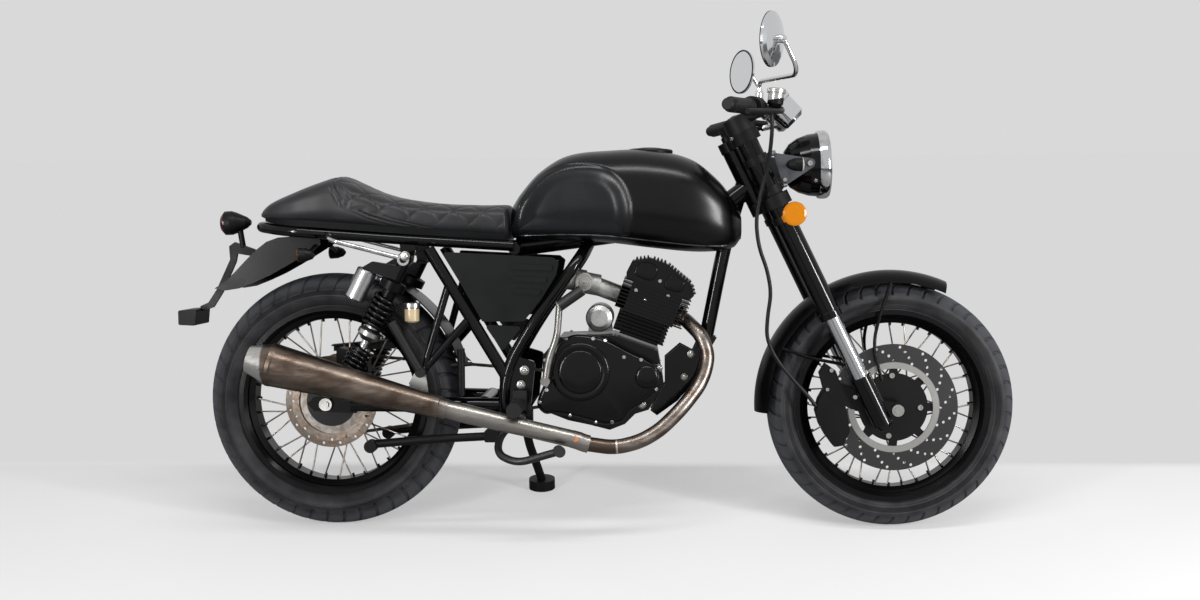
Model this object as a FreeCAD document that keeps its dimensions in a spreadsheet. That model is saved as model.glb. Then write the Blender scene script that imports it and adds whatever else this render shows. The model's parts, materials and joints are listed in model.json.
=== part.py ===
import FreeCAD, Part
import math
import os
import Sketcher
from FreeCAD import Placement, Rotation, Vector

# A single-cylinder cafe racer motorcycle, parked leaning on its side stand.
# Every piece is modelled on the upright machine: X forward, Y to its left, Z up, with the
# zero point on the ground below the rear axle. One shared placement then leans the whole
# machine over its tyre crowns and brings the middle of its footprint to the origin.

os.makedirs("parts", exist_ok=True)
doc = FreeCAD.newDocument("cafe_racer")
sizes = doc.addObject("Spreadsheet::Sheet", "Sizes")

DRIVING_SIZES = [
    # stance
    ("wheelbase", 1340),
    ("lean_angle", 8.75),
    ("rake_angle", 25.8),
    ("fit_gap", 0.3),
    # tyres and rims
    ("rear_tyre_radius", 307),
    ("rear_tyre_width", 130),
    ("front_tyre_radius", 293),
    ("front_tyre_width", 110),
    ("crown_radius", 60),
    ("bead_radius", 216),
    ("flange_height", 13),
    ("rim_wall", 6),
    ("rear_rim_width", 88),
    ("front_rim_width", 76),
    ("well_depth", 13),
    # hubs, spokes and axles
    ("axle_radius", 8),
    ("hub_barrel_radius", 28),
    ("hub_flange_radius", 56),
    ("hub_flange_thickness", 8),
    ("hub_half_length", 62),
    ("spoke_flange_offset", 32),
    ("spoke_radius", 1.9),
    ("spoke_count", 36),
    ("spoke_lead_angle", 40),
    # brakes
    ("front_disc_radius", 150),
    ("front_disc_inner_radius", 92),
    ("rear_disc_radius", 110),
    ("rear_disc_inner_radius", 78),
    ("disc_thickness", 5),
    ("disc_offset", 62),
    ("disc_hole_radius", 3.5),
    ("disc_hole_count", 16),
    ("carrier_bolt_circle", 71),
    ("carrier_arms", 8),
    # front fork
    ("fork_spread", 98),
    ("fork_axle_lead", 42),
    ("fork_tube_radius", 25),
    ("stanchion_radius", 19),
    ("fork_foot_radius", 24),
    ("foot_top", 105),
    ("stanchion_top", 260),
    ("lower_yoke_height", 546),
    ("lower_yoke_thickness", 28),
    ("head_gap", 138),
    ("upper_yoke_thickness", 25),
    ("fork_top_reach", 12),
    ("stem_offset", 30),
    ("stem_radius", 14),
    ("head_tube_radius", 26),
    # rear suspension and drive
    ("swingarm_pivot_x", 430),
    ("swingarm_pivot_z", 300),
    ("swingarm_spread", 102),
    ("swingarm_tube_radius", 18),
    ("shock_spread", 126),
    ("spring_radius", 27),
    ("spring_wire_radius", 4.5),
    ("rear_sprocket_radius", 92),
    ("front_sprocket_radius", 34),
    ("sprocket_offset", 76),
    ("sprocket_thickness", 6),
    ("chain_height", 15),
    ("chain_width", 14),
    # frame tubes
    ("downtube_radius", 17),
    ("main_tube_radius", 14),
    ("rail_tube_radius", 12.5),
    ("backbone_radius", 24),
    ("rail_spread", 95),
    ("cradle_spread", 118),
    # engine
    ("crankcase_half_width", 84),
    ("cover_depth", 42),
    ("cylinder_tilt", 19.7),
    ("fin_count", 6),
    ("head_fin_count", 9),
    ("fin_pitch", 8.6),
    ("fin_thickness", 2.6),
    ("fin_length", 126),
    ("head_fin_length", 168),
    ("fin_width", 128),
    ("barrel_width", 96),
    # bodywork
    ("tank_half_width", 138),
    ("tank_length", 543),
    ("tank_height", 240),
    ("seat_half_width", 118),
    ("cover_spread", 126),
    ("lamp_radius", 76),
    ("mirror_radius", 57),
    ("bar_half_width", 372),
    ("bar_radius", 11),
    ("grip_radius", 17),
    # exhaust
    ("header_radius", 17),
    ("silencer_radius", 49),
    ("peg_boss_reach", 152),
    ("silencer_spread", 208),
    # side stand
    ("stand_foot_x", 480),
    ("stand_foot_y", 235),
    ("stand_pad_radius", 34),
    ("stand_pad_height", 26),
]


class Size:
    """A length together with the sheet formula that gives it."""

    def __init__(self, number, formula):
        self.number = float(number)
        self.formula = formula

    def __float__(self):
        return self.number

    def combine(self, other, sign, number):
        return Size(number, "(%s %s %s)" % (self.formula, sign, formula_of(other)))

    def __add__(self, other):
        return self.combine(other, "+", self.number + float(other))

    def __sub__(self, other):
        return self.combine(other, "-", self.number - float(other))

    def __mul__(self, other):
        return self.combine(other, "*", self.number * float(other))

    def __truediv__(self, other):
        return self.combine(other, "/", self.number / float(other))

    def __neg__(self):
        return Size(-self.number, "(0 - %s)" % self.formula)


def formula_of(amount):
    """The sheet formula of a size, or the plain number as text."""
    if isinstance(amount, Size):
        return amount.formula
    return repr(float(amount))


def fill_sheet():
    """Write the driving sizes into the sheet and return them by name."""
    table = {}
    for row, (alias, number) in enumerate(DRIVING_SIZES, start=1):
        sizes.set("A%d" % row, alias)
        sizes.set("B%d" % row, str(number))
        sizes.setAlias("B%d" % row, alias)
        table[alias] = Size(number, "Sizes.%s" % alias)
    doc.recompute()
    return table


SHEET = fill_sheet()


def size(alias):
    return SHEET[alias]


def num(alias):
    return float(SHEET[alias])


# Stance: the lean turns about the line through both crown centres, so both tyres stay down.
LEAN = Rotation(Vector(1, 0, 0), -num("lean_angle"))
CROWN = Vector(0, 0, num("crown_radius"))
LEANED = Placement(Vector(0, 0, 0), LEAN, CROWN)
GAP = num("fit_gap")

RAKE = math.radians(num("rake_angle"))
FORK_UP = Vector(-math.sin(RAKE), 0, math.cos(RAKE))
FORK_AHEAD = Vector(math.cos(RAKE), 0, math.sin(RAKE))
REAR_AXLE = Vector(0, 0, num("rear_tyre_radius"))
FRONT_AXLE = Vector(num("wheelbase"), 0, num("front_tyre_radius"))
FORK_FOOT = FRONT_AXLE - FORK_AHEAD * num("fork_axle_lead")
PIVOT = Vector(num("swingarm_pivot_x"), 0, num("swingarm_pivot_z"))

# Heights along the fork legs, each stage resting on the one below it
LOWER_YOKE_TOP = num("lower_yoke_height") + num("lower_yoke_thickness")
UPPER_YOKE_LOW = LOWER_YOKE_TOP + num("head_gap")
UPPER_YOKE_TOP = UPPER_YOKE_LOW + num("upper_yoke_thickness")
FORK_TOP = UPPER_YOKE_TOP + num("fork_top_reach")

nodes = []


def keep(node_object):
    nodes.append(node_object)
    return node_object


def at(x, y, z):
    return Vector(x, y, z)


def sides():
    """Right side first, as minus one, then the left side."""
    return (-1, 1)


def on_fork(along, side=0.0, ahead=0.0):
    """A point of the fork: height along the legs, sideways place and distance ahead."""
    return FORK_FOOT + FORK_UP * along + FORK_AHEAD * ahead + Vector(0, side, 0)


# Shape helpers for pieces that are bent, swept or turned about a slanted line

def rod(start, end, radius):
    along = end - start
    return Part.makeCylinder(radius, along.Length, start, along)


def bent_path(points):
    """Straight runs joined by tangent arcs as wide as the runs allow."""
    edges = []
    current = points[0]
    for before, corner, after in zip(points, points[1:], points[2:]):
        back = before - corner
        ahead = after - corner
        half_turn = (math.pi - back.getAngle(ahead)) / 2
        reach = 0.45 * min(back.Length, ahead.Length)
        start = corner + back.normalize() * reach
        finish = corner + ahead.normalize() * reach
        radius = reach / math.tan(half_turn)
        inward = (back + ahead).normalize()
        centre = corner + inward * (radius / math.cos(half_turn))
        edges.append(Part.LineSegment(current, start).toShape())
        edges.append(Part.Arc(start, centre - inward * radius, finish).toShape())
        current = finish
    edges.append(Part.LineSegment(current, points[-1]).toShape())
    return Part.Wire(edges)


def bent_tube(points, radius):
    if len(points) == 2:
        return rod(points[0], points[1], radius)
    path = bent_path(points)
    ring = Part.Wire(Part.makeCircle(radius, points[0], points[1] - points[0]))
    return path.makePipeShell([ring], True, False)


def slab(outline, low, high):
    """A plate in the side view, from one sideways place to another."""
    corners = [Vector(x, low, z) for x, z in outline]
    face = Part.Face(Part.makePolygon(corners + corners[:1]))
    return face.extrude(Vector(0, high - low, 0))


def rounded_slab(outline, low, high, radius):
    """A plate in the side view with its upright corners rounded."""
    plate = slab(outline, low, high)
    across = [e for e in plate.Edges if abs(e.tangentAt(e.FirstParameter).y) > 0.99]
    return plate.makeFillet(radius, across)


def turned(start, along, profile):
    """A body turned about a line: the profile lists distance along it and radius."""
    points = [Vector(profile[0][0], 0, 0)]
    points += [Vector(x, r, 0) for x, r in profile]
    points += [Vector(profile[-1][0], 0, 0)]
    kept = [points[0]]
    for point in points[1:]:
        if (point - kept[-1]).Length > 1e-6:
            kept.append(point)
    face = Part.Face(Part.makePolygon(kept + kept[:1]))
    solid = face.revolve(Vector(0, 0, 0), Vector(1, 0, 0), 360)
    solid.Placement = Placement(start, Rotation(Vector(1, 0, 0), along))
    return solid


def joined(shapes):
    """One solid, or several where the pieces do not touch."""
    whole = shapes[0]
    if len(shapes) > 1:
        whole = whole.fuse(shapes[1:])
    return whole.removeSplitter()


def feature(name, shape):
    """A free-form sub-part: its shape on the upright machine, then the shared lean."""
    node = doc.addObject("Part::Feature", name)
    node.Label = name
    node.Shape = shape
    node.Placement = LEANED.multiply(shape.Placement)
    return keep(node)


# Part design helpers: bodies, sketches bound to the sheet, and their features

def new_body(name, place=Placement(), part_of=None):
    """A sub-part's body, or one of the bodies that a compound node holds."""
    body = doc.addObject("PartDesign::Body", name)
    body.Label = name
    if part_of is not None:
        return body
    body.Placement = LEANED.multiply(place)
    return keep(body)


def bind(item, attribute, amount):
    """Set a value, and tie it to the sheet where it comes from there."""
    if isinstance(amount, Size):
        item.setExpression(attribute, amount.formula)
    else:
        setattr(item, attribute, amount)


def new_sketch(body, role, name, offset=0):
    sketch = body.newObject("Sketcher::SketchObject", name)
    plane = [f for f in body.Origin.OriginFeatures if f.Role == role][0]
    sketch.AttachmentSupport = [(plane, "")]
    sketch.MapMode = "FlatFace"
    sketch.AttachmentOffset = Placement(Vector(0, 0, float(offset)), Rotation())
    if isinstance(offset, Size):
        sketch.setExpression("AttachmentOffset.Base.z", offset.formula)
    return sketch


def arc_middle(start, end, radius):
    """The middle point of an arc; a negative radius bows it to the other side."""
    chord = end - start
    half = chord.Length / 2
    rise = abs(radius) - math.sqrt(max(radius * radius - half * half, 0))
    normal = Vector(-chord.y, chord.x, 0).normalize()
    if radius < 0:
        normal = -normal
    return (start + end) * 0.5 + normal * rise


def draw_outline(sketch, outline):
    """A closed outline of points (x, y), or (x, y, radius) where an arc leads to the point."""
    corners = [Vector(float(p[0]), float(p[1]), 0) for p in outline]
    limits = []
    for index, point in enumerate(outline):
        start = corners[index - 1]
        end = corners[index]
        if len(point) == 3:
            middle = arc_middle(start, end, float(point[2]))
            ends = (start, end)
            if float(point[2]) > 0:
                ends = (end, start)
            sketch.addGeometry(Part.Arc(ends[0], middle, ends[1]))
        else:
            sketch.addGeometry(Part.LineSegment(start, end))
    count = len(outline)
    bound = []
    for index, point in enumerate(outline):
        # a line or a counter-clockwise arc ends at its second vertex
        line_end = 2
        if len(point) == 3 and float(point[2]) > 0:
            line_end = 1
        following = outline[(index + 1) % count]
        next_start = 1
        if len(following) == 3 and float(following[2]) > 0:
            next_start = 2
        limits.append(Sketcher.Constraint("Coincident", index, line_end,
                                          (index + 1) % count, next_start))
        for axis, amount in (("DistanceX", point[0]), ("DistanceY", point[1])):
            limits.append(Sketcher.Constraint(axis, -1, 1, index, line_end, float(amount)))
            bound.append((len(limits) - 1, amount))
        if len(point) == 3:
            limits.append(Sketcher.Constraint("Radius", index, abs(float(point[2]))))
    sketch.addConstraint(limits)
    for number, amount in bound:
        if isinstance(amount, Size):
            sketch.setExpression("Constraints[%d]" % number, amount.formula)


def draw_circle(sketch, x, y, radius):
    index = sketch.addGeometry(Part.Circle(Vector(float(x), float(y), 0), Vector(0, 0, 1),
                                           float(radius)))
    for axis, amount in (("DistanceX", x), ("DistanceY", y)):
        number = sketch.addConstraint(Sketcher.Constraint(axis, -1, 1, index, 3, float(amount)))
        if isinstance(amount, Size):
            sketch.setExpression("Constraints[%d]" % number, amount.formula)
    number = sketch.addConstraint(Sketcher.Constraint("Radius", index, float(radius)))
    if isinstance(radius, Size):
        sketch.setExpression("Constraints[%d]" % number, radius.formula)


def pad(body, sketch, length, both_ways=False, backwards=False):
    block = body.newObject("PartDesign::Pad", sketch.Name + "_pad")
    block.Profile = sketch
    bind(block, "Length", length)
    block.Midplane = both_ways
    block.Reversed = backwards
    sketch.Visibility = False
    return block


def pocket(body, sketch, length, both_ways=False, backwards=False):
    cut = body.newObject("PartDesign::Pocket", sketch.Name + "_pocket")
    cut.Profile = sketch
    bind(cut, "Length", length)
    cut.Midplane = both_ways
    cut.Reversed = backwards
    return cut


def revolve(body, sketch, axis="H_Axis", angle=360, both_ways=False):
    ring = body.newObject("PartDesign::Revolution", sketch.Name + "_turn")
    ring.Profile = sketch
    ring.ReferenceAxis = (sketch, [axis])
    ring.Angle = angle
    ring.Midplane = both_ways
    return ring


def repeat_round(body, features, axis_role, count):
    doc.recompute()
    pattern = body.newObject("PartDesign::PolarPattern", features[0].Name + "_round")
    pattern.Originals = features
    axis = [f for f in body.Origin.OriginFeatures if f.Role == axis_role][0]
    pattern.Axis = (axis, [""])
    pattern.Angle = 360
    bind(pattern, "Occurrences", count)
    body.Tip = pattern
    return pattern


def repeat_along(body, features, axis_role, length, count):
    doc.recompute()
    pattern = body.newObject("PartDesign::LinearPattern", features[0].Name + "_row")
    pattern.Originals = features
    axis = [f for f in body.Origin.OriginFeatures if f.Role == axis_role][0]
    pattern.Direction = (axis, [""])
    bind(pattern, "Length", length)
    bind(pattern, "Occurrences", count)
    body.Tip = pattern
    return pattern


# Wheels: each body is drawn about its own axle and then set on it

def wheel_place(axle):
    return Placement(axle, Rotation())


def make_tyre(name, axle, radius, width, rim_width):
    """Round crown, full side walls, and a bead that sits between the rim's flanges."""
    body = new_body(name, wheel_place(axle))
    sketch = new_sketch(body, "YZ_Plane", name + "_section")
    bead = rim_width / 2 - size("fit_gap")
    seat = size("bead_radius") + size("fit_gap")
    wall_foot = size("bead_radius") + size("flange_height") + 1
    crown = num("crown_radius")
    shoulder = float(width) / 2 * 0.81
    shoulder_radius = float(radius) - crown + math.sqrt(crown ** 2 - shoulder ** 2)
    half_chord = math.hypot(shoulder - float(bead), shoulder_radius - float(wall_foot)) / 2
    bulge = float(width) / 2 - (shoulder + float(bead)) / 2
    wall = (half_chord ** 2 + bulge ** 2) / (2 * bulge)
    draw_outline(sketch, [
        (-bead, seat),
        (-bead, wall_foot),
        (-shoulder, shoulder_radius, wall),
        (shoulder, shoulder_radius, crown),
        (bead, wall_foot, wall),
        (bead, seat),
    ])
    revolve(body, sketch)
    return body


def make_rim(name, axle, rim_width):
    """A rolled rim: two flanges, bead seats and a well, of one wall thickness."""
    body = new_body(name, wheel_place(axle))
    sketch = new_sketch(body, "YZ_Plane", name + "_section")
    seat = size("bead_radius")
    top = seat + size("flange_height")
    inside = rim_width / 2
    outside = inside + size("rim_wall")
    well = seat - size("well_depth")
    under = seat - size("rim_wall")
    well_half = rim_width / 4
    right = [
        (inside, seat), (inside, top), (outside, top), (outside, under + 8),
        (inside - 2, under), (well_half + 9, under), (well_half, well - size("rim_wall")),
    ]
    left = [(-x, y) for x, y in reversed(right)]
    outline = [(well_half + 9 + 5, seat)] + right + left
    outline += [(-(well_half + 9 + 5), seat), (-(well_half + 3), well), (well_half + 3, well)]
    draw_outline(sketch, outline)
    revolve(body, sketch)
    return body


def spoke_solids(rim_reach, flange_offset):
    """Crossed spokes, half from each hub flange, leading and trailing in turn."""
    spokes = []
    count = int(num("spoke_count"))
    pitch = 2 * math.pi / count
    lead = math.radians(num("spoke_lead_angle"))
    hub_circle = num("hub_flange_radius") - 6
    for number in range(count):
        side = (-1, 1)[number % 2]
        turn = (-1, 1)[(number // 2) % 2]
        rim_angle = pitch * number
        hub_angle = rim_angle + turn * lead
        hub_end = Vector(math.cos(hub_angle) * hub_circle, side * flange_offset,
                         math.sin(hub_angle) * hub_circle)
        rim_end = Vector(math.cos(rim_angle) * rim_reach, side * 7,
                         math.sin(rim_angle) * rim_reach)
        spokes.append(rod(hub_end, rim_end, num("spoke_radius")))
    return spokes


def make_hub(name, axle, disc_side_radius, extra):
    """Hub barrel, two flanges, the disc's seat and the spokes that they carry."""
    half = num("hub_half_length")
    barrel = num("hub_barrel_radius")
    flange = num("hub_flange_radius")
    thick = num("hub_flange_thickness")
    offset = num("spoke_flange_offset")
    across = Vector(0, 1, 0)
    core = turned(Vector(0, -half, 0), across, [
        (0, barrel * 0.7), (6, barrel * 0.7), (10, barrel),
        (2 * half - 10, barrel), (2 * half - 6, barrel * 0.7), (2 * half, barrel * 0.7),
    ])
    pieces = [core]
    for side in sides():
        middle = side * offset
        pieces.append(rod(Vector(0, middle - thick / 2, 0), Vector(0, middle + thick / 2, 0),
                          flange))
    seat_end = -num("disc_offset") + num("disc_thickness") / 2 + GAP
    pieces.append(rod(Vector(0, -offset, 0), Vector(0, seat_end, 0), disc_side_radius))
    pieces += extra
    well_bottom = num("bead_radius") - num("well_depth") - num("rim_wall")
    pieces += spoke_solids(well_bottom - 2 * GAP, offset)
    shape = joined(pieces)
    bore = rod(Vector(0, -half - 1, 0), Vector(0, half + 1, 0), num("axle_radius") + GAP)
    shape = shape.cut(bore)
    shape.translate(axle)
    return feature(name, shape)


def make_disc(name, axle, radius, inner_radius, hole_rings):
    """A brake disc with staggered rings of ventilation holes."""
    body = new_body(name, wheel_place(axle))
    sketch = new_sketch(body, "XZ_Plane", name + "_face", size("disc_offset"))
    draw_circle(sketch, 0, 0, radius)
    draw_circle(sketch, 0, 0, inner_radius)
    pad(body, sketch, size("disc_thickness"), both_ways=True)
    holes = new_sketch(body, "XZ_Plane", name + "_holes", size("disc_offset"))
    for ring, share in enumerate(hole_rings):
        middle = float(inner_radius) + (float(radius) - float(inner_radius)) * share
        angle = 2 * math.pi / num("disc_hole_count") * ring / len(hole_rings)
        draw_circle(holes, middle * math.cos(angle), middle * math.sin(angle),
                    size("disc_hole_radius"))
    drilled = pocket(body, holes, size("disc_thickness") * 2, both_ways=True)
    repeat_round(body, [drilled], "Y_Axis", size("disc_hole_count"))
    return body


def front_carrier():
    """The black centre of the front disc: a ring with arms that reach the disc's band."""
    ring = num("carrier_bolt_circle")
    thickness = 5
    outer = -num("disc_offset") + num("disc_thickness") / 2 + GAP
    inner = outer + thickness
    across = (Vector(0, outer, 0), Vector(0, inner, 0))
    pieces = [rod(across[0], across[1], ring + 10).cut(rod(across[0], across[1], ring - 26))]
    reach = num("front_disc_inner_radius") + 10
    count = int(num("carrier_arms"))
    for number in range(count):
        arm = slab([(ring + 2, -11), (reach, -8), (reach, 8), (ring + 2, 11)], outer, inner)
        arm.rotate(Vector(0, 0, 0), Vector(0, 1, 0), 360 / count * number)
        pieces.append(arm)
    return pieces


def make_rear_sprocket():
    """A toothed ring: the teeth are pads repeated round the axle."""
    teeth = 42
    body = new_body("rear_sprocket", wheel_place(REAR_AXLE))
    offset = -size("sprocket_offset")
    sketch = new_sketch(body, "XZ_Plane", "sprocket_ring", offset)
    draw_circle(sketch, 0, 0, size("rear_sprocket_radius") - 7)
    draw_circle(sketch, 0, 0, size("hub_barrel_radius") + size("fit_gap"))
    pad(body, sketch, size("sprocket_thickness"), both_ways=True)
    tooth = new_sketch(body, "XZ_Plane", "sprocket_tooth", offset)
    base = size("rear_sprocket_radius") - 8.5
    draw_outline(tooth, [(base, -5), (size("rear_sprocket_radius"), -1.8),
                         (size("rear_sprocket_radius"), 1.8), (base, 5)])
    tooth_pad = pad(body, tooth, size("sprocket_thickness"), both_ways=True)
    repeat_round(body, [tooth_pad], "Y_Axis", teeth)
    drum = new_sketch(body, "XZ_Plane", "sprocket_drum",
                      -size("sprocket_offset") + size("sprocket_thickness") / 2)
    draw_circle(drum, 0, 0, size("hub_flange_radius") + 2)
    draw_circle(drum, 0, 0, size("hub_barrel_radius") + size("fit_gap"))
    reach = size("sprocket_offset") - size("sprocket_thickness") / 2
    inner = size("spoke_flange_offset") + size("hub_flange_thickness") / 2 + size("fit_gap")
    pad(body, drum, reach - inner)
    return body


def make_wheels():
    make_tyre("rear_tyre", REAR_AXLE, size("rear_tyre_radius"), size("rear_tyre_width"),
              size("rear_rim_width"))
    make_rim("rear_rim", REAR_AXLE, size("rear_rim_width"))
    make_hub("rear_hub", REAR_AXLE, num("rear_disc_inner_radius") + 8, [])
    make_disc("rear_disc", REAR_AXLE, size("rear_disc_radius"), size("rear_disc_inner_radius"),
              (0.45, 0.75))
    make_rear_sprocket()
    make_tyre("front_tyre", FRONT_AXLE, size("front_tyre_radius"), size("front_tyre_width"),
              size("front_rim_width"))
    make_rim("front_rim", FRONT_AXLE, size("front_rim_width"))
    make_hub("front_hub", FRONT_AXLE, num("carrier_bolt_circle") - 20, front_carrier())
    make_disc("front_disc", FRONT_AXLE, size("front_disc_radius"),
              size("front_disc_inner_radius"), (0.32, 0.52, 0.72, 0.88))


# Front fork and what it steers

def make_fork():
    spread = num("fork_spread")
    tubes = []
    stanchions = []
    feet = []
    for side in sides():
        y = side * spread
        tubes.append(turned(on_fork(num("stanchion_top"), y), FORK_UP, [
            (0, num("fork_tube_radius") + 2), (14, num("fork_tube_radius") + 2),
            (18, num("fork_tube_radius")),
            (FORK_TOP - num("stanchion_top") - 8, num("fork_tube_radius")),
            (FORK_TOP - num("stanchion_top"), num("fork_tube_radius") - 8),
        ]))
        stanchions.append(rod(on_fork(num("foot_top") + GAP, y),
                              on_fork(num("stanchion_top") - GAP, y), num("stanchion_radius")))
        foot = turned(on_fork(-28, y), FORK_UP, [
            (0, 16), (10, num("fork_foot_radius")),
            (num("foot_top") + 28, num("fork_foot_radius")),
        ])
        inner = y - side * 20
        lug = rod(FRONT_AXLE + Vector(0, inner, 0), FRONT_AXLE + Vector(0, y + side * 12, 0), 19)
        web_low = on_fork(-14, 0)
        web = slab([(web_low.x, web_low.z), (FRONT_AXLE.x - 4, FRONT_AXLE.z - 18),
                    (FRONT_AXLE.x + 8, FRONT_AXLE.z + 16),
                    (on_fork(48).x, on_fork(48).z)], inner, y + side * 12)
        bore = rod(FRONT_AXLE + Vector(0, -200, 0), FRONT_AXLE + Vector(0, 200, 0),
                   num("axle_radius") + GAP)
        feet.append(joined([foot, lug, web]).cut(bore))
    feature("fork_outer_tubes", Part.makeCompound(tubes))
    feature("fork_stanchions", Part.makeCompound(stanchions))
    feature("fork_feet", Part.makeCompound(feet))


def leg_space(side):
    """The space that a leg's outer tube takes, with its fit."""
    y = side * num("fork_spread")
    return rod(on_fork(num("stanchion_top") + 40, y), on_fork(FORK_TOP + GAP, y),
               num("fork_tube_radius") + GAP)


def make_front_axle():
    """The front axle with its nuts outside the fork feet."""
    end = num("fork_spread") + 12
    axle = rod(Vector(0, -end - 14, 0), Vector(0, end + 14, 0), num("axle_radius"))
    pieces = [axle]
    for side in sides():
        face = side * (end + GAP)
        pieces.append(rod(Vector(0, face, 0), Vector(0, face + side * 10, 0), 14))
        collar = side * (num("hub_half_length") + GAP)
        pieces.append(rod(Vector(0, collar, 0), Vector(0, side * (num("fork_spread") - 20 - GAP), 0),
                          13))
    shape = joined(pieces)
    shape.translate(FRONT_AXLE)
    feature("front_axle", shape)


def yoke(low, thickness, reach):
    """A fork yoke: two clamp rings and the web to the steering stem."""
    spread = num("fork_spread")
    outer = num("fork_tube_radius") + 10
    pieces = []
    for side in sides():
        pieces.append(rod(on_fork(low, side * spread), on_fork(low + thickness, side * spread),
                          outer))
    pieces.append(rod(on_fork(low, 0, -num("stem_offset")),
                      on_fork(low + thickness, 0, -num("stem_offset")), reach))
    corners = [(spread, -18), (spread, 20), (-spread, 20), (-spread, -18),
               (-16, -num("stem_offset") - 12), (16, -num("stem_offset") - 12)]
    base = [on_fork(low, y, ahead) for y, ahead in corners]
    web = Part.Face(Part.makePolygon(base + base[:1])).extrude(FORK_UP * thickness)
    pieces.append(web)
    shape = joined(pieces)
    for side in sides():
        shape = shape.cut(rod(on_fork(low - 5, side * spread),
                              on_fork(low + thickness + 5, side * spread),
                              num("fork_tube_radius") + GAP))
    return shape


def make_yokes():
    low = num("lower_yoke_height")
    stem_low = on_fork(low, 0, -num("stem_offset"))
    stem_high = on_fork(UPPER_YOKE_TOP + 12, 0, -num("stem_offset"))
    pieces = [yoke(low, num("lower_yoke_thickness"), 26),
              yoke(UPPER_YOKE_LOW, num("upper_yoke_thickness"), 28),
              rod(stem_low, stem_high, num("stem_radius"))]
    feature("fork_yokes", joined(pieces))


def bar_points(side):
    """The clip-on bar: out from its clamp above the upper yoke, swept back and down."""
    root = on_fork(UPPER_YOKE_TOP + 24, side * (num("fork_spread") + 8), 24)
    elbow = root + Vector(38, side * 40, 18)
    tip = on_fork(UPPER_YOKE_TOP + 56, side * num("bar_half_width"), -25)
    return [root, elbow, tip]


def lever_arm(side):
    """The two ends of the short arm that carries the lever ahead of its bar."""
    root, elbow, tip = bar_points(side)
    start = tip - (tip - elbow).normalize() * 195
    return start, start + Vector(54, 0, -6)


def make_handlebars():
    bars = []
    grips = []
    for side in sides():
        root, elbow, tip = bar_points(side)
        clamp_low = on_fork(UPPER_YOKE_TOP + GAP, side * num("fork_spread"))
        clamp_high = on_fork(UPPER_YOKE_TOP + 38, side * num("fork_spread"))
        clamp = rod(clamp_low, clamp_high, num("fork_tube_radius") + 8).cut(leg_space(side))
        run = (tip - elbow).normalize()
        grip_start = tip - run * 125
        bar = bent_tube([root, elbow, grip_start + run * 4], num("bar_radius"))
        bars.append(joined([clamp, bar]))
        grips.append(turned(grip_start, run, [
            (4 + GAP, num("grip_radius")), (8, num("grip_radius") + 3), (14, num("grip_radius")),
            (118, num("grip_radius")), (121, num("grip_radius") - 4),
            (138, num("grip_radius") - 4), (140, num("grip_radius") - 6),
        ]))
    feature("handlebars", Part.makeCompound(bars + grips))


def make_bar_controls():
    """Switch housings and levers on each bar, with the brake reservoir on the right."""
    shapes = []
    for side in sides():
        root, elbow, tip = bar_points(side)
        run = (tip - elbow).normalize()
        inner = tip - run * 180
        housing = rod(inner, inner + run * 40, 24)
        arm_start, arm_end = lever_arm(side)
        perch_ring = rod(arm_start - run * 10, arm_start + run * 10, 19)
        lever_root = arm_end - Vector(2, 0, 0)
        lever = bent_tube([lever_root, lever_root + run * 50 + Vector(10, 0, -4),
                           tip + Vector(38, -side * 6, -14)], 6)
        shape = joined([housing, perch_ring, rod(arm_start, arm_end, 8), lever])
        if side < 0:
            cup_low = arm_start + Vector(36, 0, 2)
            cup = turned(cup_low, Vector(0.1, 0, 1), [(0, 12), (6, 18), (30, 18), (31, 21),
                                                      (39, 21), (41, 18)])
            shape = joined([shape, cup])
        shapes.append(shape.cut(bent_tube([root, elbow, tip], num("bar_radius") + GAP)))
    feature("bar_controls", Part.makeCompound(shapes))


def make_mirrors():
    """Round mirrors on bent stems that rise from the lever perches."""
    shapes = []
    places = {-1: Vector(1019, -396, 1109), 1: Vector(1010, 335, 1130)}
    for side in sides():
        root, elbow, tip = bar_points(side)
        run = (tip - elbow).normalize()
        foot = tip - run * 195 + Vector(0, 0, 20 + GAP)
        centre = places[side]
        look = Vector(-1, -side * 0.53, 0.06).normalize()
        stem = bent_tube([foot, foot + Vector(0, 0, 38), centre + Vector(62, -side * 11, -71),
                          centre - look * 28], 5)
        collar = turned(foot, Vector(0, 0, 1), [(0, 9), (12, 9), (16, 6)])
        knob = turned(centre - look * 33, look, [(0, 5), (4, 9), (13, 9), (18, 7)])
        dish = turned(centre - look * 17, look, [
            (0, 12), (3, num("mirror_radius") * 0.55), (7, num("mirror_radius") * 0.84),
            (12, num("mirror_radius")), (18, num("mirror_radius")),
        ])
        shapes.append(joined([dish, knob, collar, stem]))
    feature("mirrors", Part.makeCompound(shapes))


def make_instruments():
    """Two round gauges on a bracket above the headlamp."""
    face_way = Vector(-0.72, 0, 0.69).normalize()
    pieces = []
    back = Vector(-12, 0, 0)
    for side in sides():
        low = on_fork(UPPER_YOKE_TOP - 28.3, side * 42, 126.9)
        pieces.append(turned(low, face_way, [
            (0, 24), (8, 33), (52, 35), (54, 38), (66, 38), (68, 36),
        ]))
    middle = on_fork(UPPER_YOKE_TOP - 28.3, 0, 126.9) + back
    bridge = rod(middle - Vector(0, 42, 0), middle + Vector(0, 42, 0), 9)
    seat_high = UPPER_YOKE_TOP + GAP
    pads = []
    for side in sides():
        foot = on_fork(seat_high, side * 30, 6)
        pads.append(rod(foot, foot + FORK_UP * 6, 9))
        pads.append(rod(foot + FORK_UP * 3, middle + Vector(0, side * 30, 0), 5))
    clear = rod(on_fork(seat_high - 40, 0, 6), on_fork(seat_high, 0, 6), 60)
    feature("instruments", joined(pieces + [bridge] + pads).cut(clear))


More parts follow.
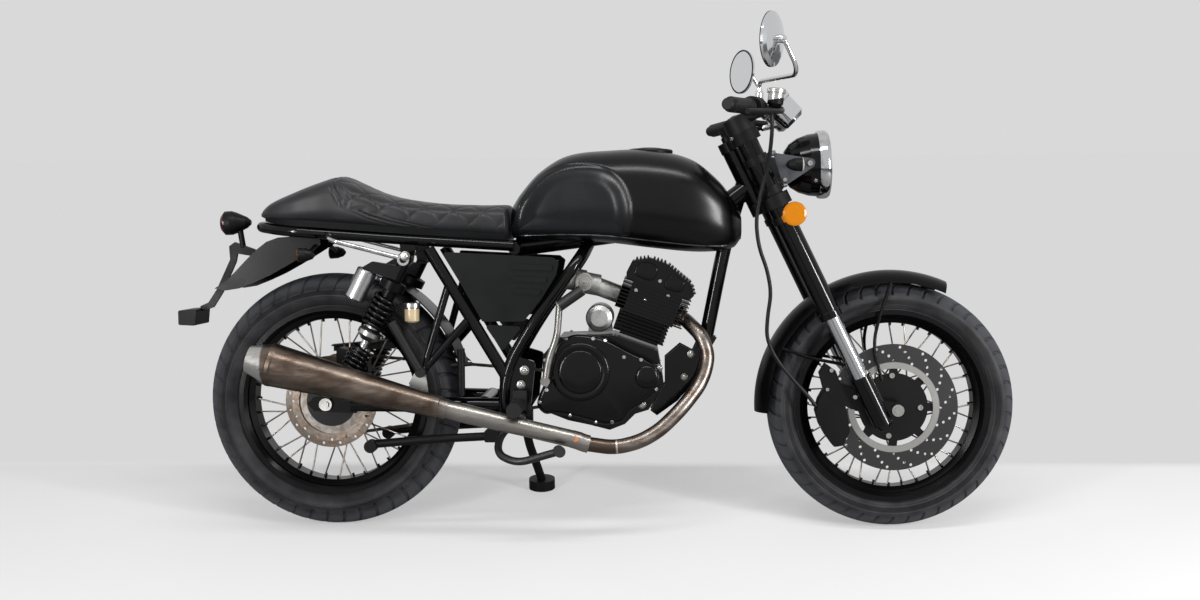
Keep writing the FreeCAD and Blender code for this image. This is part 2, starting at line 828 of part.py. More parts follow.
def yoke_clearance():
    """The space that the upper yoke takes, with its fit."""
    low = UPPER_YOKE_LOW - GAP
    thickness = num("upper_yoke_thickness") + 2 * GAP
    spread = num("fork_spread")
    corners = [(spread, -60), (spread, 20 + GAP), (-spread, 20 + GAP), (-spread, -60)]
    base = [on_fork(low, y, ahead) for y, ahead in corners]
    return Part.Face(Part.makePolygon(base + base[:1])).extrude(FORK_UP * thickness)


LAMP_CENTRE = on_fork(num("lower_yoke_height") + 46.2, 0, 137.2)
LAMP_WAY = Vector(1, 0, 0.035).normalize()
LAMP_DEPTH = 84


def shell_profile(gap):
    """The lamp shell's profile from its back to its rim, grown by a fit."""
    radius = num("lamp_radius")
    return [(-gap, 18 + gap), (3, 34 + gap), (16, 52 + gap), (36, 65 + gap), (60, 73 + gap),
            (LAMP_DEPTH, radius + gap)]


def make_headlamp():
    """The lamp's shell, its bezel with the lens, and the two side brackets."""
    radius = num("lamp_radius")
    back = LAMP_CENTRE - LAMP_WAY * LAMP_DEPTH
    feature("headlamp_shell", turned(back, LAMP_WAY, shell_profile(0)))
    bezel = turned(LAMP_CENTRE + LAMP_WAY * GAP, LAMP_WAY, [
        (0, radius + 3), (10, radius + 4), (16, radius), (24, radius - 16), (28, radius - 40),
        (30, 14),
    ])
    feature("headlamp_lens", bezel)
    rings = [LOWER_YOKE_TOP + 0.66 * num("head_gap"), LOWER_YOKE_TOP + 13.5]
    forward = [44.7, 36]
    brackets = []
    for side in sides():
        y = side * 78
        top, low = [on_fork(h, y, ahead) for h, ahead in zip(rings, forward)]
        tip = LAMP_CENTRE + Vector(-25, y, 1.4)
        plate = rounded_slab([(top.x, top.z), (tip.x + 5, tip.z + 9), (tip.x + 8, tip.z - 8),
                              (low.x, low.z - 6)], y - 2.5, y + 2.5, 6)
        bolt = rod(Vector(tip.x, side * (radius - 8), tip.z), Vector(tip.x, side * 86, tip.z), 8)
        clamps = []
        for height, point in zip(rings, (top, low)):
            ring = rod(on_fork(height - 9, side * num("fork_spread")),
                       on_fork(height + 9, side * num("fork_spread")),
                       num("fork_tube_radius") + 4)
            arm = rod(on_fork(height, side * 84, 22), point + Vector(6, 0, 0), 6)
            clamps.append(joined([ring, arm]))
        brackets.append(joined([plate, bolt] + clamps).cut(leg_space(side)))
    cutter = turned(back, LAMP_WAY, shell_profile(GAP) + [(LAMP_DEPTH + 24, radius + 4 + GAP)])
    feature("headlamp_brackets", Part.makeCompound([b.cut(cutter) for b in brackets]))


def make_front_signals():
    """Bullet direction lamps on stalks and the round amber reflectors on the fork."""
    lamps = []
    reflectors = []
    for side in sides():
        centre = LAMP_CENTRE + Vector(-90, side * 138, -5.6)
        lamps.append(joined([
            turned(centre, Vector(1, 0, 0), [
                (0, 3), (6, 10), (20, 15), (34, 16), (38, 16), (40, 12),
            ]),
            rod(Vector(centre.x + 18, side * 81, centre.z),
                Vector(centre.x + 18, side * 128, centre.z), 6),
        ]))
        height = num("lower_yoke_height") - 30
        spot = on_fork(height, side * (num("fork_spread") + num("fork_tube_radius") - 2), 24)
        ring = rod(on_fork(height - 8, side * num("fork_spread")),
                   on_fork(height + 8, side * num("fork_spread")), num("fork_tube_radius") + 3)
        dish = turned(spot, Vector(0, side, 0), [(0, 26), (3, 28), (7, 27), (9, 22)])
        reflectors.append(joined([ring, dish]).cut(leg_space(side)))
    feature("front_signals", Part.makeCompound(lamps + reflectors))


def make_front_fender():
    """A rolled mudguard that follows the front tyre, with its stays to the fork feet."""
    tyre = num("front_tyre_radius")
    inner = tyre + 27
    outer_face = Part.Face(Part.Wire([
        Part.Arc(Vector(0, -63, inner - 26), Vector(0, 0, inner + 3),
                 Vector(0, 63, inner - 26)).toShape(),
        Part.LineSegment(Vector(0, 63, inner - 26), Vector(0, 60, inner - 26)).toShape(),
        Part.Arc(Vector(0, 60, inner - 26), Vector(0, 0, inner),
                 Vector(0, -60, inner - 26)).toShape(),
        Part.LineSegment(Vector(0, -60, inner - 26), Vector(0, -63, inner - 26)).toShape(),
    ]))
    front_angle = 66
    rear_angle = 183
    outer_face.rotate(Vector(0, 0, 0), Vector(0, 1, 0), 90 - front_angle)
    guard = outer_face.revolve(Vector(0, 0, 0), Vector(0, -1, 0), rear_angle - front_angle)
    pieces = [guard]
    for side in sides():
        edge = Vector(-8, side * 61, inner - 24)
        stay = bent_tube([edge, Vector(-30, side * 66, 232), Vector(-52, side * 72, 150),
                          Vector(-32, side * 86, 66)], 4)
        rear_edge = Vector(math.cos(math.radians(152)) * (inner - 22), side * 61,
                           math.sin(math.radians(152)) * (inner - 22))
        rear_stay = bent_tube([rear_edge, Vector(-200, side * 70, 118),
                               Vector(-78, side * 84, 96)], 4)
        pieces += [stay, rear_stay]
    shape = joined(pieces)
    shape.translate(FRONT_AXLE)
    for side in sides():
        shape = shape.cut(rod(on_fork(-40, side * num("fork_spread")),
                              on_fork(num("foot_top"), side * num("fork_spread")),
                              num("fork_foot_radius") + GAP))
        shape = shape.cut(rod(on_fork(num("foot_top"), side * num("fork_spread")),
                              on_fork(300, side * num("fork_spread")),
                              num("stanchion_radius") + GAP))
    feature("front_fender", shape)


def make_front_caliper():
    """A calliper behind the right fork foot, open over the disc, with its bracket."""
    disc = num("disc_offset")
    out = disc + 25
    body = rounded_slab([(1162, 313), (1178, 342), (1206, 337), (1222, 309), (1230, 266),
                         (1234, 238), (1218, 205), (1197, 202), (1178, 228), (1164, 254),
                         (1155, 285)], -out, -disc + 22, 7)
    bracket = slab([(1160, 379), (1174, 402), (1200, 383), (1212, 352), (1250, 338),
                    (1290, 318), (1286, 286), (1236, 292), (1193, 316), (1170, 341)],
                   -num("fork_spread") + 18, -num("fork_spread") + 10)
    shape = joined([body, bracket])
    slot = rod(FRONT_AXLE + Vector(0, -disc - num("disc_thickness") / 2 - 2, 0),
               FRONT_AXLE + Vector(0, -disc + num("disc_thickness") / 2 + 2, 0),
               num("front_disc_radius") + 4)
    shape = shape.cut(slot)
    shape = shape.cut(rod(on_fork(-40, -num("fork_spread")), on_fork(num("foot_top"),
                          -num("fork_spread")), num("fork_foot_radius") + GAP))
    feature("front_caliper", shape)


def make_front_hoses():
    """The brake hose from the lever's arm down behind the right leg to the caliper."""
    arm_start, arm_end = lever_arm(-1)
    start = (arm_start + arm_end) * 0.5
    brake = [start, start + Vector(4, 4, -36), at(1040, -176, 905), at(1034, -150, 850),
             at(1018, -136, 790), at(1010, -128, 730), at(1018, -120, 672), at(1038, -112, 620),
             at(1048, -104, 566), at(1040, -98, 512), at(1038, -92, 460), at(1060, -88, 412),
             at(1100, -86, 362), at(1134, -84, 326), at(1154.5, -82, 299)]
    feature("front_brake_hose", bent_tube(brake, 4.5).cut(rod(arm_start, arm_end, 8 + GAP)))


def make_steering():
    make_fork()
    make_front_axle()
    make_yokes()
    make_handlebars()
    make_bar_controls()
    make_mirrors()
    make_instruments()
    make_headlamp()
    make_front_signals()
    make_front_fender()
    make_front_caliper()
    make_front_hoses()


# Frame

HEAD_LOW = LOWER_YOKE_TOP + GAP
HEAD_HIGH = UPPER_YOKE_LOW - GAP


def head_point(along):
    return on_fork(along, 0, -num("stem_offset"))


def make_frame_spine():
    """Head tube, backbone and front downtube in one welded piece."""
    spine_front = head_point((HEAD_LOW + HEAD_HIGH) / 2 - 26)
    backbone = bent_tube([spine_front, at(905, 0, 742), at(800, 0, 722), at(600, 0, 696),
                          at(446, 0, 676)], num("backbone_radius"))
    downtube = bent_tube([head_point(HEAD_LOW + 70), at(948, 0, 690), at(900, 0, 450)],
                         num("downtube_radius"))
    gusset = slab([(952, 700), (976, 762), (930, 742), (940, 668)], -4, 4)
    cross = rod(at(446, -num("rail_spread") + 13, 672), at(446, num("rail_spread") - 13, 672),
                num("main_tube_radius"))
    shape = joined([rod(head_point(HEAD_LOW), head_point(HEAD_HIGH), num("head_tube_radius")),
                    backbone, downtube, gusset, cross])
    bore = rod(head_point(HEAD_LOW - 60), head_point(HEAD_HIGH + 60), num("stem_radius") + GAP)
    feature("frame_spine", shape.cut(bore).cut(yoke_clearance()))


STAND_PIVOT = at(448, 112, 232)
CENTRE_PIVOT = at(392, 0, 230)
SPINDLE_RADIUS = 9


def stand_carriers():
    """Bracket and pin of the side stand, and the ears and pin of the centre stand."""
    bracket = rounded_slab([(430, 214), (430, 272), (470, 272), (470, 218)],
                           STAND_PIVOT.y - 8, STAND_PIVOT.y + 8, 6)
    pin = rod(STAND_PIVOT - Vector(0, 8, 0), STAND_PIVOT + Vector(0, 34, 0), 8)
    ears = [rounded_slab([(376, 218), (376, 244), (414, 276), (434, 276), (434, 262),
                          (404, 218)], side * 118 - 4, side * 118 + 4, 5) for side in sides()]
    long_pin = rod(CENTRE_PIVOT + Vector(0, -122, 0), CENTRE_PIVOT + Vector(0, 122, 0), 8)
    return [bracket, pin, long_pin] + ears


def make_frame_cradle():
    """Each side's tubes from the backbone and seat rail down to the swingarm plate."""
    shapes = []
    radius = num("main_tube_radius")
    spread = num("cradle_spread")
    for side in sides():
        y = side * spread
        front = bent_tube([at(618, side * 12, 680), at(600, side * 90, 648),
                           at(488, y, 492), at(428, y, 388), at(422, y, 262)], radius)
        rear = rod(at(249, y, 673.7), at(428, y, 375), radius)
        plate = rounded_slab([(414, 262), (414, 400), (452, 422), (498, 408), (486, 300),
                              (462, 262)], y - 6, y + 6, 10)
        shapes.append(joined([front, rear, plate]))
    spindle = rod(PIVOT + Vector(0, -spread - 10, 0), PIVOT + Vector(0, spread + 10, 0),
                  SPINDLE_RADIUS)
    shape = joined(shapes + stand_carriers() + [spindle])
    spine_space = bent_tube([at(800, 0, 722), at(600, 0, 696), at(446, 0, 676)],
                            num("backbone_radius") + GAP)
    feature("frame_cradle", shape.cut(spine_space))


def make_subframe():
    """Seat rails with their rear loop, and the struts that carry the passenger's pegs."""
    rails = []
    radius = num("rail_tube_radius")
    spread = num("rail_spread")
    right_half = [at(446, -spread, 678.5), at(178, -spread, 695.5), at(12, -spread, 708.5),
                  at(-100, -spread, 717), at(-166, -spread * 0.55, 726)]
    left_half = [Vector(p.x, -p.y, p.z) for p in reversed(right_half)]
    rails.append(bent_tube(right_half + [at(-172, 0, 728)] + left_half, radius))
    for side in sides():
        out = side * 138
        rails.append(rod(at(294, side * 118, 585), at(236, out, 389), 9))
        rails.append(rod(at(340, side * 120, 506), at(236, out, 389), 9))
        rails.append(rod(at(236, out - side * 8, 389), at(236, side * num("peg_boss_reach"), 389),
                         13))
        rails.append(slab([(176, 698), (218, 695), (208, 638), (184, 638)],
                          side * spread - 5, side * spread + 5))
        rails.append(rod(at(SHOCK_TOP.x, side * spread, SHOCK_TOP.z),
                         at(SHOCK_TOP.x, side * (num("shock_spread") + 26), SHOCK_TOP.z), 8))
    shape = joined(rails)
    cradle_space = []
    for side in sides():
        y = side * num("cradle_spread")
        cradle_space.append(rod(at(249, y, 673.7), at(428, y, 375),
                                num("main_tube_radius") + GAP))
    for space in cradle_space:
        shape = shape.cut(space)
    feature("subframe", shape)


def make_engine_mounts():
    """Front plates that hang the engine from the downtube, and the head steady."""
    outline = [(801, 408), (838, 440), (868, 424), (888, 468), (926, 456), (896, 404),
               (872, 350), (832, 304), (782, 268), (766, 280), (801, 345)]
    plates = [slab(outline, side * 23 - 3, side * 23 + 3) for side in sides()]
    bridge = rod(at(903, -26, 440.9), at(903, 26, 440.9), 8)
    feature("engine_mounts", joined(plates + [bridge]))


def make_swingarm():
    """Two round arms, a cross tube, axle plates and the shock brackets."""
    spread = num("swingarm_spread")
    radius = num("swingarm_tube_radius")
    pieces = []
    for side in sides():
        y = side * spread
        pieces.append(rod(at(PIVOT.x, side * (spread - 20), PIVOT.z), at(58, y, REAR_AXLE.z),
                          radius))
        pieces.append(slab([(70, REAR_AXLE.z - 22), (70, REAR_AXLE.z + 22),
                            (-30, REAR_AXLE.z + 17), (-46, REAR_AXLE.z), (-30, REAR_AXLE.z - 17)],
                           y - 6, y + 6))
        pieces.append(slab([(26, REAR_AXLE.z + 12), (30, SHOCK_LOW.z + 9),
                            (54, SHOCK_LOW.z + 9), (76, REAR_AXLE.z + 12)], y - 6, y + 6))
        pieces.append(rod(at(SHOCK_LOW.x, y, SHOCK_LOW.z),
                          at(SHOCK_LOW.x, side * (num("shock_spread") + 17), SHOCK_LOW.z), 7))
    pieces.append(rod(at(372, 20 - spread, 302), at(372, spread - 20, 302), radius + 2))
    pivot_half = num("cradle_spread") - num("main_tube_radius") - 2
    pieces.append(rod(at(PIVOT.x, -pivot_half, PIVOT.z), at(PIVOT.x, pivot_half, PIVOT.z),
                      radius + 2))
    shape = joined(pieces)
    axle_bore = rod(REAR_AXLE + Vector(0, -200, 0), REAR_AXLE + Vector(0, 200, 0),
                    num("axle_radius") + GAP)
    pivot_bore = rod(PIVOT + Vector(0, -200, 0), PIVOT + Vector(0, 200, 0),
                     SPINDLE_RADIUS + GAP)
    feature("swingarm", shape.cut(axle_bore).cut(pivot_bore))


def make_rear_axle():
    end = num("swingarm_spread") + 6
    pieces = [rod(Vector(0, -end - 16, 0), Vector(0, end + 16, 0), num("axle_radius"))]
    for side in sides():
        face = side * (end + GAP)
        pieces.append(rod(Vector(0, face, 0), Vector(0, face + side * 11, 0), 15))
        start = side * (num("hub_half_length") + GAP)
        finish = side * (num("swingarm_spread") - 6 - GAP)
        pieces.append(rod(Vector(0, start, 0), Vector(0, finish, 0), 13))
    shape = joined(pieces)
    shape.translate(REAR_AXLE)
    feature("rear_axle", shape)


SHOCK_TOP = at(196, 0, 649)
SHOCK_LOW = at(42, 0, 342)


def shock_point(share, side, away=0.0):
    along = SHOCK_TOP - SHOCK_LOW
    across = Vector(along.z, 0, -along.x).normalize()
    return SHOCK_LOW + along * share + across * away + Vector(0, side * num("shock_spread"), 0)


def coil(start, along, radius, wire, turns, length):
    """A compression spring: an eight-sided wire swept along a helix."""
    helix = Part.makeHelix(length / turns, length, radius)
    corners = []
    for index in range(8):
        angle = math.radians(45 * index)
        corners.append(Vector(radius + wire * math.cos(angle), 0, wire * math.sin(angle)))
    section = Part.makePolygon(corners + corners[:1])
    spring = Part.Wire(helix.Edges).makePipeShell([section], True, True)
    spring.Placement = Placement(start, Rotation(Vector(0, 0, 1), along))
    return spring


def make_shocks():
    bodies = []
    reservoirs = []
    springs = []
    radius = num("spring_radius")
    for side in sides():
        up = (SHOCK_TOP - SHOCK_LOW).normalize()
        length = (SHOCK_TOP - SHOCK_LOW).Length
        low = shock_point(0, side)
        core = turned(low + up * 14, up, [
            (0, 12), (4, radius + 4), (14, radius + 4), (15, 9), (118, 9), (119, 15),
            (132, radius + 1), (142, radius + 1), (150, 17), (250, 17), (252, radius + 3),
            (272, radius + 3), (276, 14), (length - 22, 14),
        ])
        eyes = []
        for end in (low, shock_point(1, side)):
            eyes.append(rod(end - Vector(0, 15, 0), end + Vector(0, 15, 0), 17))
        arm_top = low + up * (length - 34)
        bottle_top = shock_point(0.82, side, -68)
        bridge = slab([(arm_top.x + 8, arm_top.z + 14), (arm_top.x - 6, arm_top.z - 18),
                       (bottle_top.x - 16, bottle_top.z + 4), (bottle_top.x + 12,
                       bottle_top.z + 20)], arm_top.y - 14, arm_top.y + 14)
        shape = joined([core] + eyes + [bridge])
        for end, bolt in ((low, 7), (shock_point(1, side), 8)):
            shape = shape.cut(rod(end - Vector(0, 40, 0), end + Vector(0, 40, 0), bolt + GAP))
        bodies.append(shape)
        bottle = turned(bottle_top, -up, [(0, 21), (3, 24), (72, 24), (77, 18)])
        reservoirs.append(bottle.cut(bridge))
        springs.append(coil(low + up * 34, up, radius - 2, num("spring_wire_radius") - 0.5, 7, 78))
        springs.append(coil(low + up * 168, up, radius, num("spring_wire_radius"), 6, 78))
    feature("shock_bodies", Part.makeCompound(bodies))
    feature("shock_reservoirs", Part.makeCompound(reservoirs))
    feature("shock_springs", Part.makeCompound(springs))


def make_chain():
    """The chain as one fixed loop that runs just clear of both sprockets."""
    y = num("sprocket_offset")
    half = num("chain_width") / 2
    front = at(PIVOT.x + 92, 0, PIVOT.z + 22)
    inner_rear = num("rear_sprocket_radius") + 1
    inner_front = num("front_sprocket_radius") + 1

    def belt(extra):
        big = rod(at(0, y - half, REAR_AXLE.z), at(0, y + half, REAR_AXLE.z), inner_rear + extra)
        small = rod(at(front.x, y - half, front.z), at(front.x, y + half, front.z),
                    inner_front + extra)
        along = front - REAR_AXLE
        distance = along.Length
        lean = math.asin((inner_rear - inner_front) / distance)
        slope = math.atan2(along.z, along.x)
        ends = []
        for turn in (1, -1):
            angle = slope + turn * (math.pi / 2 - lean)
            way = Vector(math.cos(angle), 0, math.sin(angle))
            ends.append((REAR_AXLE + way * (inner_rear + extra),
                         front + way * (inner_front + extra)))
        quad = [ends[0][0], ends[0][1], ends[1][1], ends[1][0]]
        run = slab([(p.x, p.z) for p in quad], y - half, y + half)
        return joined([big, small, run])

    feature("chain", belt(num("chain_height")).cut(belt(0)))


def make_chain_guard():
    outline = [(-30, 432), (120, 446), (300, 404), (318, 388), (120, 420), (-30, 414)]
    plate = slab(outline, num("sprocket_offset") + 12, num("sprocket_offset") + 15)
    top = slab([(-30, 428), (120, 442), (300, 400), (302, 404), (120, 446), (-30, 432)],
               num("sprocket_offset") - 10, num("sprocket_offset") + 15)
    tab = rod(at(180, num("sprocket_offset") + 13, 418), at(180, num("swingarm_spread"), 316), 5)
    arm_space = rod(at(PIVOT.x, num("swingarm_spread") - 20, PIVOT.z),
                    at(58, num("swingarm_spread"), REAR_AXLE.z),
                    num("swingarm_tube_radius") + GAP)
    feature("chain_guard", joined([plate, top, tab]).cut(arm_space))


def make_frame():
    make_frame_spine()
    make_frame_cradle()
    make_subframe()
    make_engine_mounts()
    make_swingarm()
    make_rear_axle()
    make_shocks()
    make_chain()
    make_chain_guard()


# Engine

CYLINDER_BASE = at(735, 0, 446)
CYLINDER_PLACE = Placement(CYLINDER_BASE, Rotation(Vector(0, 1, 0), num("cylinder_tilt")))
INTAKE_Y = -8
INTAKE_HEIGHT = 92
EXHAUST_Y = -14


def make_crankcase():
    body = new_body("crankcase")
    sketch = new_sketch(body, "XZ_Plane", "crankcase_side")
    draw_outline(sketch, [(512, 300), (512, 420), (552, 462), (680, 466), (700, 458),
                          (784, 428), (798, 350), (762, 290), (730, 280), (706, 256),
                          (670, 242), (623, 254), (571, 265), (533, 280)])
    pad(body, sketch, size("crankcase_half_width") * 2, both_ways=True)
    notch = new_sketch(body, "XZ_Plane", "sprocket_recess", -size("crankcase_half_width"))
    reach = size("front_sprocket_radius") + size("chain_height") + 8
    draw_circle(notch, PIVOT.x + 92, PIVOT.z + 22, reach)
    depth = size("crankcase_half_width") - size("sprocket_offset") + size("chain_width") / 2 + 6
    pocket(body, notch, depth, backwards=True)


def make_engine_covers():
    right = new_body("clutch_cover", part_of="engine_covers")
    sketch = new_sketch(right, "XZ_Plane", "clutch_cover_side",
                        size("crankcase_half_width") + size("fit_gap"))
    draw_outline(sketch, [(532, 378), (537, 424), (547, 450), (580, 469), (608, 472),
                          (650, 464), (684, 450), (719, 431), (759, 412), (782, 396),
                          (791, 366), (779, 338), (754, 314), (719, 291), (700, 267),
                          (660, 260), (625, 269), (578, 281), (543, 286), (518, 286),
                          (501, 307), (511, 342)])
    pad(right, sketch, size("cover_depth"))
    face = size("crankcase_half_width") + size("cover_depth")
    for name, x, z, radius, height in (("clutch_dome", 603, 385, 68, 6),
                                       ("clutch_plate", 603, 385, 49, 10),
                                       ("shaft_boss", 758, 373, 27, 6)):
        boss = new_sketch(right, "XZ_Plane", name, face)
        draw_circle(boss, x, z, radius)
        pad(right, boss, height)
    left = new_body("generator_cover", part_of="engine_covers")
    side = new_sketch(left, "XZ_Plane", "generator_cover_side",
                      -size("crankcase_half_width") - size("fit_gap"))
    draw_outline(side, [(524, 320), (520, 420), (560, 452), (690, 458), (772, 420),
                        (786, 352), (752, 298), (700, 276), (560, 276)])
    pad(left, side, size("cover_depth") - 8, backwards=True)
    drum = new_sketch(left, "XZ_Plane", "generator_cover_drum",
                      -size("crankcase_half_width") - size("cover_depth") + 10)
    draw_circle(drum, 690, 368, 62)
    pad(left, drum, 14, backwards=True)
    pair = doc.addObject("Part::Compound", "engine_covers")
    pair.Label = "engine_covers"
    pair.Links = [right, left]
    pair.Placement = LEANED
    keep(pair)


def make_cylinder():
    """The barrel with its stack of cooling fins, made by a linear pattern."""
    body = new_body("cylinder", CYLINDER_PLACE)
    core = new_sketch(body, "XY_Plane", "barrel_core", 8)
    half = size("barrel_width") / 2
    draw_outline(core, [(-half, -half), (half, -half), (half, half), (-half, half)])
    pad(body, core, size("fin_pitch") * size("fin_count") + 2)
    fin = new_sketch(body, "XY_Plane", "barrel_fin", 14)
    reach = size("fin_length") / 2
    wide = size("fin_width") / 2
    draw_outline(fin, [(-reach - 3, -wide), (reach - 3, -wide), (reach - 3, wide),
                       (-reach - 3, wide)])
    fin_pad = pad(body, fin, size("fin_thickness"))
    repeat_along(body, [fin_pad], "Z_Axis", size("fin_pitch") * (size("fin_count") - 1),
                 size("fin_count"))


def make_cylinder_head():
    """The finned head below its rocker cover, open where the exhaust leaves it."""
    body = new_body("cylinder_head", CYLINDER_PLACE)
    bottom = size("fin_pitch") * size("fin_count") + 10 + size("fit_gap")
    height = size("fin_pitch") * size("head_fin_count")
    core = new_sketch(body, "XY_Plane", "head_core", bottom)
    draw_outline(core, [(-58, -56), (66, -56), (66, 56), (-58, 56)])
    pad(body, core, height + 1)
    fin = new_sketch(body, "XY_Plane", "head_fin", bottom + 4)
    reach = size("head_fin_length") / 2
    wide = size("fin_width") / 2
    draw_outline(fin, [(-reach + 4, -wide), (reach + 4, -wide), (reach + 4, wide),
                       (-reach + 4, wide)])
    fin_pad = pad(body, fin, size("fin_thickness"))
    repeat_along(body, [fin_pad], "Z_Axis", height - size("fin_pitch"), size("head_fin_count"))
    intake = new_sketch(body, "YZ_Plane", "intake_port", -reach + 4)
    draw_circle(intake, INTAKE_Y, INTAKE_HEIGHT, 26)
    pad(body, intake, 24)
    doc.recompute()
    base = bottom + height - 0.5
    cover = new_sketch(body, "XZ_Plane", "rocker_cover")
    draw_outline(cover, [(-76, base), (84, base), (90, base + 12), (74, base + 36),
                         (4, base + 62), (-38, base + 62), (-76, base + 42), (-80, base + 12)])
    pad(body, cover, 112, both_ways=True)
    doc.recompute()
    port = new_sketch(body, "XZ_Plane", "exhaust_port", -EXHAUST_Y)
    draw_outline(port, [(62, 64), (100, 60), (100, 122), (62, 120)])
    pocket(body, port, 58, both_ways=True)


def make_intake():
    """Manifold, throttle body and the boot to the airbox behind it."""
    rear = 4 - num("head_fin_length") / 2
    port = CYLINDER_PLACE.multVec(at(rear + 20, INTAKE_Y, INTAKE_HEIGHT))
    body_end = at(614, -22, 590)
    pieces = [rod(port, body_end, 22),
              turned(at(644, -16, 582), at(-1, -0.15, 0.2), [
                  (0, 26), (34, 26), (36, 30), (60, 30), (62, 24), (80, 24),
              ]),
              rod(at(609, -52, 592), at(609, -10, 592), 21)]
    head_space = Part.makeBox(100, 200, 140, at(rear - GAP, -100, 40))
    head_space.Placement = CYLINDER_PLACE
    feature("throttle_body", joined(pieces).cut(head_space))


def make_starter():
    """The silver starter housing on top of the crankcase."""
    body = turned(at(646, -70, 506), at(0, 1, 0), [
        (0, 20), (6, 30), (14, 33), (90, 33), (96, 26),
    ])
    feature("starter_motor", joined([body, rounded_slab([(618, 470), (676, 470), (672, 500),
                                                         (620, 500)], -40, 10, 4)]))


def kick_starter():
    pivot = at(523, 0, 366)
    shaft = rod(at(pivot.x, -126.5, pivot.z), at(pivot.x, -158, pivot.z), 11)
    arm = bent_tube([at(pivot.x, -150, pivot.z), at(532, -152, 420), at(552, -156, 470),
                     at(558, -160, 545)], 8)
    pedal = rod(at(556, -162, 540), at(611, -164, 578), 13)
    return joined([shaft, arm, pedal])


def make_exhaust():
    port = CYLINDER_PLACE.multVec(at(65.5, EXHAUST_Y, 92))
    elbow = CYLINDER_PLACE.multVec(at(91, EXHAUST_Y - 4, 89))
    header = [port, elbow, at(888, -58, 463), at(903, -64, 418), at(896, -74, 380),
              at(880, -88, 346), at(838, -116, 296), at(788, -136, 250), at(742, -154, 226),
              at(684, -170, 214), at(610, -178, 226)]
    pipe = bent_tube(header, num("header_radius"))
    away = (elbow - port).normalize()
    flange = turned(port + away * 2.5, away, [(0, 24), (9, 24), (12, 20), (18, 20)])
    feature("exhaust_header", joined([pipe, flange]))
    tail = at(-153, -num("silencer_spread") - 4, 426)
    throat = at(301, -num("silencer_spread"), 309)
    front = at(604, -179, 232)
    axis = (tail - throat).normalize()
    reach = (tail - throat).Length
    wide = num("silencer_radius")
    can = turned(throat - axis * 2, axis, [
        (0, 23), (18, 24), (20, 26), (40, 27), (60, 27), (reach - 64, wide), (reach - 60, wide + 1),
        (reach - 52, wide + 1), (reach - 48, wide - 2), (reach, 31), (reach, 26),
    ])
    hollow = turned(tail + axis * 1, -axis, [(0, 27), (60, 22)])
    link_length = (throat - front).Length
    link = turned(front, throat - front, [
        (0, 20), (link_length * 0.4, 20), (link_length * 0.85, 22), (link_length + 6, 21),
    ])
    link = link.cut(bent_tube(header, num("header_radius") + GAP))
    hanger_face = -num("peg_boss_reach") - GAP
    hanger = joined([
        slab([(206, 362), (228, 400), (244, 400), (252, 336), (226, 322)], hanger_face - 4,
             hanger_face),
        rod(at(240, hanger_face - 2, 342), at(240, -num("silencer_spread") + 14, 334), 7),
    ])
    feature("silencer", joined([can, link, hanger]).cut(hollow))


def make_engine():
    make_crankcase()
    make_engine_covers()
    make_cylinder()
    make_cylinder_head()
    make_intake()
    make_starter()
    make_exhaust()


# Bodywork

def soft_section(x, half_width, low, high, squareness=2.6):
    """A closed smooth section across the machine, boxier as its squareness grows."""
    count = 20
    middle = (low + high) / 2
    rise = (high - low) / 2
    points = []
    for step in range(count):
        angle = 2 * math.pi * (step + 0.5) / count
        c = math.cos(angle)
        s = math.sin(angle)
        points.append(Vector(
            x,
            math.copysign(abs(c) ** (2 / squareness), c) * half_width,
            middle + math.copysign(abs(s) ** (2 / squareness), s) * rise))
    spline = Part.BSplineCurve()
    spline.interpolate(points, PeriodicFlag=True)
    return Part.Wire(spline.toShape())


def make_tank():
    """The fuel tank with its knee recesses and the tunnel over the backbone."""
    wide = num("tank_half_width")
    rear = 440
    length = num("tank_length")
    low = 664
    high = low + num("tank_height")
    stations = [
        (0.0, 0.60, low + 32, high - 130), (0.04, 0.78, low + 30, high - 98),
        (0.12, 0.86, low + 27, high - 50), (0.24, 0.90, low + 25, high - 12),
        (0.42, 0.97, low + 20, high), (0.60, 1.0, low + 8, high), (0.78, 0.94, low - 2, high - 22),
        (0.90, 0.78, low - 1, high - 72), (0.97, 0.56, low + 8, high - 122),
        (1.0, 0.34, low + 28, high - 156),
    ]
    sections = [soft_section(rear + length * s, wide * w, a, b, 2.8) for s, w, a, b in stations]
    shape = Part.makeLoft(sections, True, False)
    tunnel = slab([(rear - 10, 640), (rear - 10, 712), (600, 732), (800, 756), (880, 790),
                   (1010, 880), (1010, 640)], -36, 36)
    shape = shape.cut(tunnel)
    for side in sides():
        recess = rounded_slab([(466, 704), (474, 770), (528, 846), (650, 852), (704, 826),
                               (728, 762), (720, 690)], side * (wide - 15), side * (wide + 40), 14)
        shape = shape.cut(recess)
    cap_low = at(768, 0, high - 3)
    cap_seat = rod(cap_low + Vector(0, 0, 4 - GAP), cap_low + Vector(0, 0, 40), 54 + GAP)
    feature("fuel_tank", shape.cut(cap_seat))
    feature("fuel_cap", turned(cap_low, at(0.02, 0, 1), [(4, 30), (7, 52), (10, 54), (13, 50),
                                                         (14, 20)]))


def make_seat():
    """The seat with its tail hump; a plain solid of the real outline."""
    wide = num("seat_half_width")
    stations = [
        (-166, 0.45, 746, 764), (-136, 0.76, 738, 786), (-80, 0.94, 730, 811),
        (-20, 1.0, 726, 834), (28, 1.0, 722, 846), (70, 1.0, 719, 829), (120, 0.99, 715, 807),
        (170, 0.98, 711, 793), (260, 0.94, 705, 780), (360, 0.88, 698, 775), (432, 0.84, 694, 775),
    ]
    sections = [soft_section(x, wide * w, a, b, 3.2) for x, w, a, b in stations]
    feature("seat", Part.makeLoft(sections, True, False))


